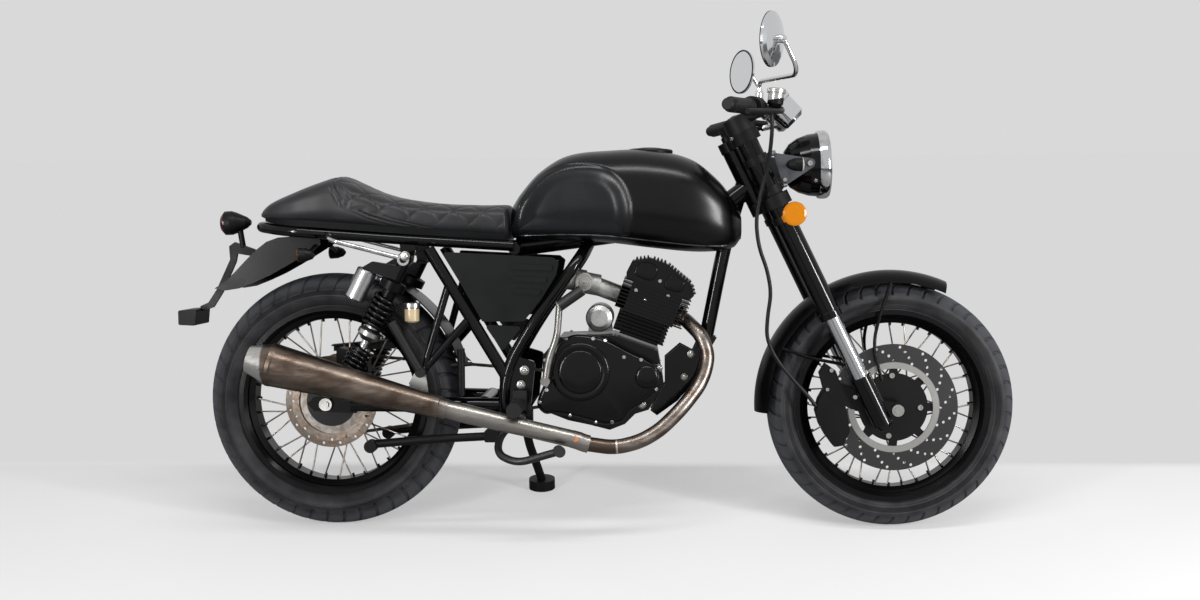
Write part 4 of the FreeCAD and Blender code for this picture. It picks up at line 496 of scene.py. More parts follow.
def rubber(name, colour, roughness, tooth_mm, depth, chalked):
    material, tree, shader, place = start_material(name, colour, roughness, gloss=0.25)
    tree.links.new(chalky(tree, place, colour, chalked), shader.inputs["Base Color"])
    emboss(tree, shader, grain(tree, place, tooth_mm), depth)
    return material


def side_wall_rubber(name, axle, radius):
    """Tyre rubber with a band of slanted ridges and two rings on its side wall, and a painted
    sheen on its tread.
    """
    material, tree, shader, place = start_material(name, "161617", 0.6, gloss=0.25)
    distance, flat = from_axle(tree, place, axle)
    parts = add_node(tree, "ShaderNodeSeparateXYZ", {"Vector": flat}).outputs
    turn = calculate(tree, "ADD", calculate(tree, "ARCTAN2", parts["X"], parts["Z"]),
                     calculate(tree, "MULTIPLY", distance, RIDGE_SLANT))
    height = calculate(tree, "MULTIPLY", waves(tree, turn, RIDGE_RATE),
                       between(tree, distance, radius - 50, radius - 39))
    for ring in (radius - 53, radius - 36):
        lip = between(tree, distance, ring - 0.8, ring + 0.8)
        height = calculate(tree, "ADD", height, calculate(tree, "MULTIPLY", lip, 1.6))
    tooth = calculate(tree, "MULTIPLY", grain(tree, place, 1.2), 0.12)
    emboss(tree, shader, calculate(tree, "ADD", height, tooth), 0.5)
    dusty = chalky(tree, place, "1E1E20", "343436")
    # Painted sheen: the tread, the outer part of the tyre, is coloured a lighter blue-grey.
    wear_and_sheen = spread(tree, distance, 0, 0.8, radius - 30, radius - 16)
    tree.links.new(mix_colours(tree, wear_and_sheen, dusty, "3A3B3F"), shader.inputs["Base Color"])
    return material


def seat_leather():
    material, tree, shader, place = start_material(
        "pebbled_leather", "18181A", 0.44, gloss=0.3, sheen_weight=0.06, sheen_roughness=0.4)
    wear_and_sheen = spread(tree, grain(tree, place, 70, 4), 0, 1)
    tree.links.new(mix_colours(tree, wear_and_sheen, "161617", "222225"), shader.inputs["Base Color"])
    pebbles = add_node(tree, "ShaderNodeTexVoronoi", {"Vector": place, "Scale": 1000 / 1.6},
                       feature="SMOOTH_F1")
    emboss(tree, shader, pebbles.outputs["Distance"], 0.09)
    return material


tyre_rubber = rubber("tyre_rubber", "161617", 0.6, 0.8, 0.05, "262627")
hose_rubber = rubber("hose_rubber", "0A0A0B", 0.42, 1.5, 0.02, "141415")
grip_rubber = rubber("grip_rubber", "0B0B0C", 0.55, 0.9, 0.05, "161617")
front_tyre_rubber = side_wall_rubber("front_tyre_rubber", FRONT_AXLE_PLACE, FRONT_RADIUS)
rear_tyre_rubber = side_wall_rubber("rear_tyre_rubber", REAR_AXLE_PLACE, REAR_RADIUS)
leather = seat_leather()
clear_glass = start_material("clear_glass", "F2F4F5", 0.02, transmission_weight=1.0)[0]
dial_card = paint("dial_card", "101113", 0.5, 0.5, 0.0)
dial_ink = paint("dial_ink", "E9E9E4", 0.5, 0.5, 0.0)
needle_ink = paint("needle_ink", "C43A1E", 0.5, 0.5, 0.0)

# %% [markdown]
# ## Dressing the CAD pieces
# A CAD piece whose shape is right keeps it and only gets a better finish. First come the finishes
# that change from place to place on a piece, such as the shock absorbers with their bright shafts
# or the lever brackets with their reservoirs, and then the list of what each piece is made of.

# %% Finishes with zones
SHOCK_TOP = Vector((196, 0, 649))
SHOCK_LOW = Vector((42, 0, 342))
FORK_FOOT = Vector((1302.2, 0, 274.7))
FORK_AHEAD = Vector((0.9003, 0, 0.4352))
AMBER_FINISH = ("AE680A", 0.16, 0.0)
SILVER_FINISH = ("B5B5B3", 0.3)
BLACK_FINISH = ("0C0C0D", 0.42, 0.0)
shock_up = (SHOCK_TOP - SHOCK_LOW).normalized()
shock_finish = zoned("shock_body_steel", black_steel, [
    (stretch(shock_up, 96, 134, SHOCK_LOW), ("CFCFCE", 0.1)),
    (stretch(shock_up, 133, 176, SHOCK_LOW), SILVER_FINISH)])
signal_finish = zoned("signal_housing", panel_plastic, [
    (beyond((1, 0, 0), 1115), ("B4AFA6", 0.15, 0.2)),
    (ball((1099, -121, 750), 31), AMBER_FINISH), (ball((1099, 121, 750), 31), AMBER_FINISH)])
pedal_finish = zoned("lever_steel", zinc, [
    (beyond((0, 0, -1), -250), BLACK_FINISH), (ball((588, -163, 561), 38), BLACK_FINISH)])
plate_finish = zoned("lamp_bracket_paint", powder_coat, [
    (beyond(FORK_AHEAD, 34, FORK_FOOT), ("55565A", 0.36, 0.6))])
control_finish = zoned("control_housing", powder_coat, [
    (ball((1046, -193, 1022), 25), SILVER_FINISH)])
brake_finish = zoned("brake_housing", powder_coat, [
    (ball((207, -110, 522), 34), ("B3A183", 0.2, 0.1)),
    (ball((207, -110, 552), 26), SILVER_FINISH)])
tail_finish = zoned("tail_lamp_housing", panel_plastic, [
    (beyond((-1, 0, 0), 264), ("2A0A0B", 0.14, 0.0))])
indicator_finish = zoned("rear_signal_housing", panel_plastic, [
    (beyond((-1, 0, 0), 47), ("3A2410", 0.16, 0.0))])


def ribbed_rubber(pitch_mm, inner, outer):
    """Grip rubber: rings round each grip, and a plain bar between the grips."""
    material, tree, shader, place = start_material("ribbed_grip_rubber", "0B0B0C", 0.5, gloss=0.2)
    out = calculate(tree, "ABSOLUTE", along_way(tree, place, (0, 0, 0), (0, 1, 0)))
    rings = waves(tree, out, 2 * math.pi / pitch_mm)
    emboss(tree, shader, calculate(tree, "MULTIPLY", rings, between(tree, out, inner, outer)), 0.5)
    return material


ribbed_grip = ribbed_rubber(5, 256, 360)

# %% Finishes for the CAD pieces
FINISHES = [
    (panel_plastic, "airbox chain_guard side_covers"),
    (powder_coat, "centre_stand fork_yokes front_caliper plate_bracket side_stand"),
    (engine_enamel, "crankcase cylinder_head engine_covers"),
    (enamel, "engine_mounts fork_feet fork_outer_tubes frame_cradle frame_spine fuel_cap "
             "fuel_tank headlamp_shell shock_springs subframe swingarm"),
    (bright_bolt, "front_axle rear_axle"), (chrome, "grab_rails"), (zinc, "rear_sprocket"),
    (fender_paint, "front_fender rear_fender"), (rim_enamel, "front_rim rear_rim"),
    (tyre_rubber, "front_tyre rear_tyre"), (mirror_chrome, "instruments mirrors"),
    (cast_alloy, "starter_motor throttle_body"), (chain_steel, "chain"),
    (fin_paint, "cylinder"), (grip_rubber, "footrests"), (ribbed_grip, "handlebars"),
    (fork_chrome, "fork_stanchions"), (hose_rubber, "front_brake_hose"),
    (clear_glass, "headlamp_lens"), (leather, "seat"), (reservoir_metal, "shock_reservoirs"),
    (front_disc_finish, "front_disc"), (rear_disc_finish, "rear_disc"),
    (front_hub_finish, "front_hub"), (rear_hub_finish, "rear_hub"),
    (header_finish, "exhaust_header"), (silencer_finish, "silencer"),
    (control_finish, "bar_controls"), (pedal_finish, "foot_controls"),
    (signal_finish, "front_signals"), (indicator_finish, "rear_indicators"),
    (plate_finish, "headlamp_brackets"), (brake_finish, "rear_brake"),
    (shock_finish, "shock_bodies"), (tail_finish, "tail_lamp"),
]
dressed = []
for finish, names in FINISHES:
    for name in names.split():
        for slot in frame["nodes"][name].material_slots:
            slot.material = finish
        dressed.append(name)
print("dressed", len(dressed), "pieces, left", sorted(set(frame["nodes"]) - set(dressed)))

# %% [markdown]
# ## Making pieces
# Each new piece is a mesh whose points are worked out on the upright machine and then moved to
# their leaning place. One function finishes a piece: it names the body it rides on and the CAD
# piece it stands for.

# %% Helpers for pieces
def plain_mesh(name, points, faces=(), edges=()):
    mesh = bpy.data.meshes.new(name)
    mesh.from_pydata([Vector(point) for point in points], list(edges), list(faces))
    return mesh


def finish_piece(piece, material, body, stands_for, smooth_angle):
    """Gives a piece its material, smooth shading and its body."""
    mesh = piece.data
    form = bmesh.new()
    form.from_mesh(mesh)
    bmesh.ops.remove_doubles(form, verts=form.verts, dist=2e-6)
    bmesh.ops.recalc_face_normals(form, faces=form.faces)
    form.to_mesh(mesh)
    form.free()
    mesh.materials.clear()
    mesh.materials.append(material)
    mesh.shade_smooth()
    mesh.set_sharp_from_angle(angle=math.radians(smooth_angle))
    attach(piece, body)
    if stands_for:
        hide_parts(stands_for)
    print(piece.name, len(mesh.polygons), "faces")
    return piece


def make_piece(name, points, faces, material, slot, stands_for=None, body="chassis",
               smooth_angle=38):
    """A piece from points in millimetres on the upright machine."""
    mesh = plain_mesh(name, points, faces)
    mesh.transform(BIKE)
    return finish_piece(placed(name, mesh), material, body, stands_for, smooth_angle)


def grid_faces(rows, columns, closed_columns=True, start=0):
    """Quads of a grid of points, row after row."""
    faces = []
    for row in range(rows - 1):
        for column in range(columns if closed_columns else columns - 1):
            beside = (column + 1) % columns
            near, far = start + row * columns, start + (row + 1) * columns
            faces.append((near + column, near + beside, far + beside, far + column))
    return faces


def closed_grid(rows, columns):
    """A grid of closed rings with a fan at each end, round two points that follow the rings."""
    ring, last = range(columns), (rows - 1) * columns
    tip = rows * columns
    faces = grid_faces(rows, columns)
    faces += [(tip, (c + 1) % columns, c) for c in ring]
    return faces + [(tip + 1, last + c, last + (c + 1) % columns) for c in ring]


def turned_points(profile, count, origin, axis, out):
    """Rings of points round an axis; the profile lists distance along it and radius."""
    axis = Vector(axis).normalized()
    out = Vector(out)
    out = (out - axis * out.dot(axis)).normalized()
    third = axis.cross(out)
    points = []
    for along, radius in profile:
        for step in range(count):
            angle = 2 * math.pi * step / count
            spoke = out * math.cos(angle) + third * math.sin(angle)
            points.append(Vector(origin) + axis * along + spoke * radius)
    return points


def turned_piece(name, profile, origin, axis, material, slot, stands_for=None, body="chassis",
                 count=64):
    """A piece turned on a lathe: closed where the profile starts and ends on the axis."""
    out = Vector((0, 0, 1)) if abs(Vector(axis).normalized().z) < 0.9 else Vector((1, 0, 0))
    return make_piece(name, turned_points(profile, count, origin, axis, out),
                      grid_faces(len(profile), count), material, slot, stands_for, body, 35)


def tube_piece(name, path, radius, material, count=16):
    """A round tube along a smooth curve through a few points."""
    curve = bpy.data.curves.new(name, "CURVE")
    curve.dimensions = "3D"
    spline = curve.splines.new("NURBS")
    spline.points.add(len(path) - 1)
    for point, place in zip(spline.points, path):
        point.co = (*place, 1)
    spline.use_endpoint_u = True
    spline.order_u = 3
    curve.resolution_u = 10
    curve.bevel_depth = radius
    curve.bevel_resolution = count // 4
    curve.use_fill_caps = True
    return kept_from(placed(name + "_curve", curve), name, material, None, "chassis", BIKE)


def kept_from(maker, name, material, stands_for, body, place, smooth_angle=38):
    """Keeps what a curve or a tree of nodes has made as a plain piece."""
    mesh = bpy.data.meshes.new_from_object(maker.evaluated_get(
        bpy.context.evaluated_depsgraph_get()))
    bpy.data.objects.remove(maker)
    mesh.name = name
    mesh.transform(place)
    return finish_piece(placed(name, mesh), material, body, stands_for, smooth_angle)


# %% [markdown]
# ## Geometry Nodes for what repeats
# Treads, spoke nipples, screws and chain links are all one small shape many times over. A tree has
# named inputs for its sizes, puts the shape on its places, realises the copies so that they are
# real faces, and sets the material. The helper adds the tree as a modifier, fills its inputs by
# their identifiers, and keeps the evaluated mesh as a plain one.

# %% Helpers for Geometry Nodes
def start_tree(name, inputs):
    """A node tree with geometry in and out, and named number inputs."""
    tree = bpy.data.node_groups.new(name, "GeometryNodeTree")
    tree.interface.new_socket("Geometry", in_out="INPUT", socket_type="NodeSocketGeometry")
    for label, kind in {**inputs, "Material": "Material"}.items():
        tree.interface.new_socket(label, in_out="INPUT", socket_type="NodeSocket" + kind)
    tree.interface.new_socket("Geometry", in_out="OUTPUT", socket_type="NodeSocketGeometry")
    return tree, add_node(tree, "NodeGroupInput").outputs


def end_tree(tree, geometry, entry):
    """Realises the copies, sets the material and ends the tree."""
    shape = add_node(tree, "GeometryNodeRealizeInstances", {"Geometry": geometry})
    painted = add_node(tree, "GeometryNodeSetMaterial", {
        "Geometry": shape.outputs["Geometry"], "Material": entry["Material"]})
    add_node(tree, "NodeGroupOutput", {"Geometry": painted.outputs["Geometry"]})
    return tree


def copy_to_points(tree, entry, **sockets):
    """Ends a tree with copies of a shape on points."""
    copies = add_node(tree, "GeometryNodeInstanceOnPoints", sockets)
    return end_tree(tree, copies.outputs["Instances"], entry)


def grow(name, tree, start_mesh, values, material, stands_for=None, body="chassis",
         place=BIKE, smooth_angle=38):
    """Runs a tree on a starting mesh and keeps the result as a plain piece."""
    maker = placed(name + "_maker", start_mesh)
    modifier = maker.modifiers.new("grow", "NODES")
    modifier.node_group = tree
    values = {**values, "Material": material}
    for item in tree.interface.items_tree:
        if item.in_out == "INPUT" and item.name in values:
            modifier[item.identifier] = values[item.name]
    return kept_from(maker, name, material, stands_for, body, place, smooth_angle)


# %% [markdown]
# ## Tyres
# A road tyre has a round crown, a shoulder, a bulging side wall with moulded bands, and a bead
# that disappears behind the rim. Its tread is one block pattern repeated about 45 times. One pitch
# of it is drawn as a narrow strip whose grid lines follow a curved groove, so that the groove has
# crisp walls with few faces, and Geometry Nodes turns the strip round the axle.

# %% Tyre strip and tree
SHOULDER_SHARE = 0.81
SECTION_STEPS = 14
WALL_FOOT, BEAD_FOOT = 231, 217
GROOVE_DEPTH = 5.0
GROOVE_FIRST, GROOVE_LAST = 0.07, 0.57


def crown_radius_at(radius, across):
    """The tyre's radius at a distance from its middle, on the round crown."""
    return radius - CROWN_RADIUS + math.sqrt(CROWN_RADIUS ** 2 - across ** 2)


def tyre_profile(radius, width, rim_width):
    """Half a section from the crown to the bead: distance across and radius."""
    half = width / 2
    shoulder = half * SHOULDER_SHARE
    shoulder_radius = crown_radius_at(radius, shoulder)
    bead = rim_width / 2 - 0.3
    points = []
    for step in range(SECTION_STEPS + 1):
        across = shoulder * step / SECTION_STEPS
        points.append((across, crown_radius_at(radius, across)))
    for step in range(1, SECTION_STEPS + 1):
        share = step / SECTION_STEPS
        straight = shoulder + (bead - shoulder) * share
        bulge = math.sin(math.pi * share ** 0.9) * (half - (shoulder + bead) / 2)
        points.append((straight + bulge, shoulder_radius + (WALL_FOOT - shoulder_radius) * share))
    points.append((bead, BEAD_FOOT))
    return points


def tread_strip(profile, pitch, groove_mm, bend, skew):
    """One pitch of tread: columns that follow the groove, rows down the section."""
    groove = groove_mm / 2 / profile[0][1]
    columns = [-pitch / 2, -pitch / 4, -groove * 1.7, -groove, groove, groove * 1.7,
               pitch / 4, pitch / 2]
    points = []
    faces = []
    for side in (-1, 1):
        faces += grid_faces(len(profile), len(columns), False, len(points))
        for number, (across, radius) in enumerate(profile):
            share = number / (len(profile) - 1)
            reach = min(1.0, share / GROOVE_LAST)
            sweep = bend * (1 - (1 - reach) ** 2) + skew * reach
            for column, turn in enumerate(columns):
                low = radius
                if GROOVE_FIRST <= share <= GROOVE_LAST and column in (3, 4):
                    low -= GROOVE_DEPTH
                angle = turn + sweep
                points.append((low * math.sin(angle), side * across, low * math.cos(angle)))
    return points, faces


def ring_tree():
    """Copies the starting strip round the axle."""
    tree, entry = start_tree("copies_round_an_axle", {"Count": "Int"})
    line = add_node(tree, "GeometryNodeMeshLine", {"Offset": (0, 0, 0), "Count": entry["Count"]})
    index = add_node(tree, "GeometryNodeInputIndex").outputs["Index"]
    step = calculate(tree, "DIVIDE", 2 * math.pi, entry["Count"])
    turn = add_node(tree, "ShaderNodeCombineXYZ", {"Y": calculate(tree, "MULTIPLY", index, step)})
    rotation = add_node(tree, "FunctionNodeEulerToRotation", {"Euler": turn.outputs["Vector"]})
    return copy_to_points(tree, entry, Points=line.outputs["Mesh"], Instance=entry["Geometry"],
                          Rotation=rotation.outputs["Rotation"])


copies_round_axle = ring_tree()


def wheel_place(axle):
    return BIKE @ Matrix.Translation(axle)


def make_tyre(node, body, axle, radius, width, rim_width, count, groove, bend, skew, rubber):
    strip = plain_mesh(node + "_strip", *tread_strip(
        tyre_profile(radius, width, rim_width), 2 * math.pi / count, groove, bend, skew))
    grow(node + "_treaded", copies_round_axle, strip, {"Count": count}, rubber,
         node, body, wheel_place(axle), 32)


# %% Tyres
make_tyre("front_tyre", "front_wheel", FRONT_AXLE_PLACE, FRONT_RADIUS, 110, 76,
          46, 5.2, -0.15, 0.0, front_tyre_rubber)
make_tyre("rear_tyre", "rear_wheel", REAR_AXLE_PLACE, REAR_RADIUS, 130, 88,
          44, 6.0, -0.05, -0.05, rear_tyre_rubber)

# %% [markdown]
# ## Spokes' nipples
# Each spoke ends in a black nipple that stands out of the rim. They sit on a circle just inside
# the rim, 36 of them, alternately a little to the left and to the right, so one pair of nipples
# turned round the axle eighteen times makes them all.

# %% Nipples
SPOKES = 36
NIPPLE_CIRCLE = 199
NIPPLE_OFFSET = 9
NIPPLE_PROFILE = [(0, 0.1), (0, 2.9), (7, 3.1), (8, 4.6), (11, 4.6), (11, 0.1)]


def nipple_pair(name):
    points = []
    faces = []
    for number, side in enumerate((-1, 1)):
        angle = 2 * math.pi / SPOKES * number
        out = Vector((math.sin(angle), 0, math.cos(angle)))
        start = out * (NIPPLE_CIRCLE - NIPPLE_OFFSET) + Vector((0, side * NIPPLE_OFFSET, 0))
        faces += grid_faces(len(NIPPLE_PROFILE), 8, start=len(points))
        points += turned_points(NIPPLE_PROFILE, 8, start, out, (0, 1, 0))
    return plain_mesh(name, points, faces)


for word, axle in (("front", FRONT_AXLE_PLACE), ("rear", REAR_AXLE_PLACE)):
    grow(word + "_nipples", copies_round_axle, nipple_pair(word + "_nipples_pair"),
         {"Count": SPOKES // 2}, black_steel, None, word + "_wheel", wheel_place(axle))

# %% [markdown]
# ## Wound springs
# Each shock absorber carries a long open spring above and a short one below. A spring is a wire
# along a spiral, so the tree makes a spiral curve from the number of turns, the radius and the
# height, and sweeps a circle along it. The CAD model keeps plainer springs of the same size.

# %% Springs
SHOCK_SPREAD = 126
# Each spring has its height above the lower eye, turns, radius, height and wire radius.
SPRINGS = (("lower_spring_", 34, 7.0, 25.0, 78.0, 4.0),
           ("upper_spring_", 168, 6.0, 27.0, 78.0, 4.5))


def spring_tree():
    tree, entry = start_tree("wound_spring", {
        "Turns": "Float", "Radius": "Float", "Height": "Float", "Wire": "Float"})
    spiral = add_node(tree, "GeometryNodeCurveSpiral", {
        "Resolution": 20, "Rotations": entry["Turns"], "Start Radius": entry["Radius"],
        "End Radius": entry["Radius"], "Height": entry["Height"]})
    section = add_node(tree, "GeometryNodeCurvePrimitiveCircle", {
        "Resolution": 10, "Radius": entry["Wire"]})
    wire = add_node(tree, "GeometryNodeCurveToMesh", {
        "Fill Caps": True, "Curve": spiral.outputs["Curve"],
        "Profile Curve": section.outputs["Curve"]})
    return end_tree(tree, wire.outputs["Mesh"], entry)


wound_spring = spring_tree()
for side, word in SIDES:
    for name, start, turns, radius, height, wire in SPRINGS:
        low = SHOCK_LOW + Vector((0, side * SHOCK_SPREAD, 0)) + shock_up * start
        lean = shock_up.to_track_quat("Z", "Y").to_matrix().to_4x4()
        grow(name + word, wound_spring, bpy.data.meshes.new(name + word + "_start"),
             {"Turns": turns, "Radius": radius, "Height": height, "Wire": wire},
             enamel, "shock_springs", place=BIKE @ Matrix.Translation(low) @ lean)

# %% [markdown]
# ## The chain
# A roller chain is two kinds of link in turn: a wide pair of outer plates and a narrow pair of
# inner plates, joined by rollers a half inch apart. The loop is two straight runs and two arcs
# round the sprockets. The tree cuts the loop into equal steps and puts a link on every second
# step, turned the way the chain runs; it runs once for the outer links and once for the inner.

# %% Chain
SPROCKET_SIDE = 76
FRONT_SPROCKET = Vector((522, 0, 322))
REAR_SPROCKET = Vector((0, 0, REAR_RADIUS))
CHAIN_PITCH = 12.7
FRONT_PITCH_RADIUS = 42.5
REAR_PITCH_RADIUS = 100.5
PLATE_THICK = 1.3
PLATE_END, PLATE_WAIST = 4.3, 3.4
PIN_HEAD = 0.8


def chain_loop():
    """The loop's corners in the side view, close enough together to look round."""
    gap = FRONT_SPROCKET - REAR_SPROCKET
    slope = math.atan2(gap.z, gap.x)
    quarter = math.pi / 2 - math.asin((REAR_PITCH_RADIUS - FRONT_PITCH_RADIUS) / gap.length)
    points = []
    for centre, radius, start, end in (
            (FRONT_SPROCKET, FRONT_PITCH_RADIUS, -quarter, quarter),
            (REAR_SPROCKET, REAR_PITCH_RADIUS, quarter, 2 * math.pi - quarter)):
        for step in range(25):
            angle = slope + start + (end - start) * step / 24
            points.append(centre + Vector((math.cos(angle) * radius, SPROCKET_SIDE,
                                           math.sin(angle) * radius)))
    return points


def link_mesh(name, plate_side, roller, pin_reach):
    """One link: two waisted plates, and two rollers or pin heads across them."""
    points = []
    faces = []
    outline = []
    for step in range(16):
        angle = 2 * math.pi * (step + 0.5) / 16
        waist = PLATE_END if abs(math.cos(angle)) > 0.5 else PLATE_WAIST
        x = math.cos(angle) * PLATE_END + math.copysign(CHAIN_PITCH / 2, math.cos(angle))
        outline.append((x, math.sin(angle) * waist))
    for side in (-1, 1):
        start = len(points)
        for across in (side * plate_side, side * (plate_side + PLATE_THICK)):
            points += [(x, across, z) for x, z in outline]
        faces += grid_faces(2, 16, start=start)
        faces += [tuple(range(start, start + 16)), tuple(range(start + 16, start + 32))]
    profile = [(0, 0.05), (0, roller), (2 * pin_reach, roller), (2 * pin_reach, 0.05)]
    for end in (-1, 1):
        faces += grid_faces(4, 10, start=len(points))
        points += turned_points(profile, 10, (end * CHAIN_PITCH / 2, -pin_reach, 0), (0, 1, 0),
                                (0, 0, 1))
    return plain_mesh(name, points, faces)


def chain_tree():
    tree, entry = start_tree("links_along_a_loop", {
        "Count": "Int", "Parity": "Int", "Link": "Object"})
    loop = add_node(tree, "GeometryNodeMeshToCurve", {"Mesh": entry["Geometry"]})
    steps = add_node(tree, "GeometryNodeResampleCurve", {
        "Curve": loop.outputs["Curve"], "Count": entry["Count"]}, mode="COUNT")
    index = add_node(tree, "GeometryNodeInputIndex").outputs["Index"]
    chosen = calculate(tree, "COMPARE", calculate(tree, "MODULO", index, 2.0), entry["Parity"],
                       0.1)
    tangent = add_node(tree, "GeometryNodeInputTangent")
    turn = add_node(tree, "FunctionNodeAlignRotationToVector", {
        "Factor": 1.0, "Vector": tangent.outputs["Tangent"]}, axis="X", pivot_axis="Y")
    link = add_node(tree, "GeometryNodeObjectInfo", {"Object": entry["Link"]})
    return copy_to_points(tree, entry, Points=steps.outputs["Curve"], Selection=chosen,
                          Instance=link.outputs["Geometry"], Rotation=turn.outputs["Rotation"])


links_along_loop = chain_tree()
loop_points = chain_loop()
loop_edges = [(n, (n + 1) % len(loop_points)) for n in range(len(loop_points))]
loop_length = sum((loop_points[a] - loop_points[b]).length for a, b in loop_edges)
link_count = 2 * round(loop_length / CHAIN_PITCH / 2)
for word, parity, half_width, roller, pin_reach in (
        ("outer", 0, 5.2, 2.0, 5.2 + PLATE_THICK + PIN_HEAD), ("inner", 1, 3.4, 4.0, 3.4)):
    link = placed(word + "_link", link_mesh(word + "_link", half_width, roller, pin_reach))
    grow("chain_" + word + "_links", links_along_loop,
         plain_mesh(word + "_loop", loop_points, edges=loop_edges),
         {"Count": link_count, "Parity": parity, "Link": link}, chain_steel,
         "chain")
    bpy.data.objects.remove(link)
print("chain links", link_count, "pitch", round(loop_length / link_count, 2), "mm")

# %% [markdown]
# ## Sections along the machine
# The tank and the seat are both long forms whose cross-section changes slowly from the back to the
# front. A few stations give each section's half width, lowest and highest line, and a smooth
# interpolation gives every section between. The section itself is a superellipse, which can be
# anything between an ellipse and a rounded box.

# %% Helpers for long forms
def smooth_between(stations, share):
    """Values between stations, with no kinks where one span meets the next."""
    last = len(stations) - 1
    for number in range(last):
        if share <= stations[number + 1][0] or number == last - 1:
            break
    before = stations[max(0, number - 1)]
    start, end = stations[number], stations[number + 1]
    after = stations[min(last, number + 2)]
    width = end[0] - start[0]
    t = min(1.0, max(0.0, (share - start[0]) / width))
    values = []
    for item in range(1, len(start)):
        slope_in = (end[item] - before[item]) / (end[0] - before[0]) * width
        slope_out = (after[item] - start[item]) / (after[0] - start[0]) * width
        values.append((2 * t ** 3 - 3 * t ** 2 + 1) * start[item] + (t ** 3 - 2 * t ** 2 + t)
                      * slope_in + (3 * t ** 2 - 2 * t ** 3) * end[item]
                      + (t ** 3 - t ** 2) * slope_out)
    return values


def soft_step(value, low, high):
    share = min(1.0, max(0.0, (value - low) / (high - low)))
    return share * share * (3 - 2 * share)


def section_point(half, low, high, squareness, angle):
    """A point of a superellipse section: angle 0 is the right side, a quarter turn the top."""
    cosine, sine = math.cos(angle), math.sin(angle)
    across = math.copysign(abs(cosine) ** (2 / squareness), cosine)
    up = math.copysign(abs(sine) ** (2 / squareness), sine)
    return -half * across, (low + high) / 2 + (high - low) / 2 * up


def segment_gap(start, end, x, z):
    """How far a point of the side view lies from a straight piece of line."""
    dx, dz = end[0] - start[0], end[1] - start[1]
    t = ((x - start[0]) * dx + (z - start[1]) * dz) / (dx * dx + dz * dz)
    t = min(1.0, max(0.0, t))
    return math.hypot(x - start[0] - dx * t, z - start[1] - dz * t)


def distance_inside(outline, x, z):
    """How far a point of the side view lies inside a closed outline; negative outside."""
    nearest = 1e9
    inside = False
    for (ax, az), (bx, bz) in zip(outline, outline[1:] + outline[:1]):
        nearest = min(nearest, segment_gap((ax, az), (bx, bz), x, z))
        if (az > z) != (bz > z) and x < (bx - ax) * (z - az) / (bz - az) + ax:
            inside = not inside
    return nearest if inside else -nearest


def line_distance(path, x, z):
    """Distance to an open line in the side view, positive above it."""
    nearest, sign = 1e9, 1
    for (ax, az), (bx, bz) in zip(path, path[1:]):
        gap = segment_gap((ax, az), (bx, bz), x, z)
        if gap < nearest:
            nearest = gap
            sign = 1 if (bx - ax) * (z - az) - (bz - az) * (x - ax) > 0 else -1
    return nearest * sign


def rounded(outline, steps=8):
    """A closed outline through a few points, made smooth."""
    count = len(outline)
    result = []
    for number in range(count):
        p = [Vector(outline[(number + shift) % count]) for shift in (-1, 0, 1, 2)]
        for step in range(steps):
            t = step / steps
            point = 0.5 * (2 * p[1] + (p[2] - p[0]) * t + (2 * p[0] - 5 * p[1] + 4 * p[2] - p[3])
                           * t ** 2 + (3 * p[1] - p[0] - 3 * p[2] + p[3]) * t ** 3)
            result.append(tuple(point))
    return result


# %% [markdown]
# ## The fuel tank
# The tank is pressed from sheet steel: a long back, a rounded front and a knee panel sunk about
# 14 mm into each side. The panel has a firm edge, a soft slope and a nearly flat floor. It is the
# same satin paint, coloured a touch greyer as a painted sheen for the light the panel catches.
# Along the bottom the two pressings are welded in a folded seam, drawn in lighter grey steel that
# paints the bright line along it. The share of the panel at each point is kept as an attribute,
# and the paint reads it.

# %% Fuel tank
TANK_REAR = 440
TANK_LENGTH = 543
TANK_HALF = 138
TANK_SQUARENESS = 2.8
TANK_STATIONS = [(0, .60, 696, 774), (.04, .78, 694, 806), (.12, .86, 691, 854),
                 (.24, .90, 689, 892), (.42, .97, 684, 904), (.60, 1, 672, 904),
                 (.78, .94, 662, 882), (.90, .78, 663, 832), (.97, .56, 672, 782),
                 (1, .34, 692, 748)]
KNEE_OUTLINE = rounded([(447, 704), (452, 748), (468, 790), (500, 836), (540, 862), (600, 872),
                        (662, 862), (704, 828), (724, 780), (724, 730), (706, 696), (640, 694),
                        (540, 700)])
KNEE_EDGE = 2.2
KNEE_SLOPE = 12
SEAM_ANGLE = math.radians(-52)


def tank_point(share, angle):
    """A point of the tank before its knee panels are pressed in."""
    width, low, high = smooth_between(TANK_STATIONS, share)
    return (TANK_REAR + TANK_LENGTH * share,
            *section_point(TANK_HALF * width, low, high, TANK_SQUARENESS, angle))


def tank_form(rows=220, columns=236):
    points = []
    shares = []
    for row in range(rows):
        share = (1 - math.cos(math.pi * row / (rows - 1))) / 2
        for column in range(columns):
            angle = 2 * math.pi * column / columns
            x, y, z = tank_point(share, angle)
            near_middle = abs(math.cos(angle)) < 0.25
            inside = -50 if near_middle else distance_inside(KNEE_OUTLINE, x, z)
            sunk = KNEE_EDGE * soft_step(inside, 0, 4) + KNEE_SLOPE * soft_step(inside, 5, 46)
            shares.append(soft_step(inside, -4, 6))
            points.append((x, y - math.copysign(min(sunk, abs(y)), y), z))
    ends = [(TANK_REAR + 1, 0, 735), (TANK_REAR + TANK_LENGTH - 1, 0, 720)]
    return points + ends, closed_grid(rows, columns), shares + [0, 0]


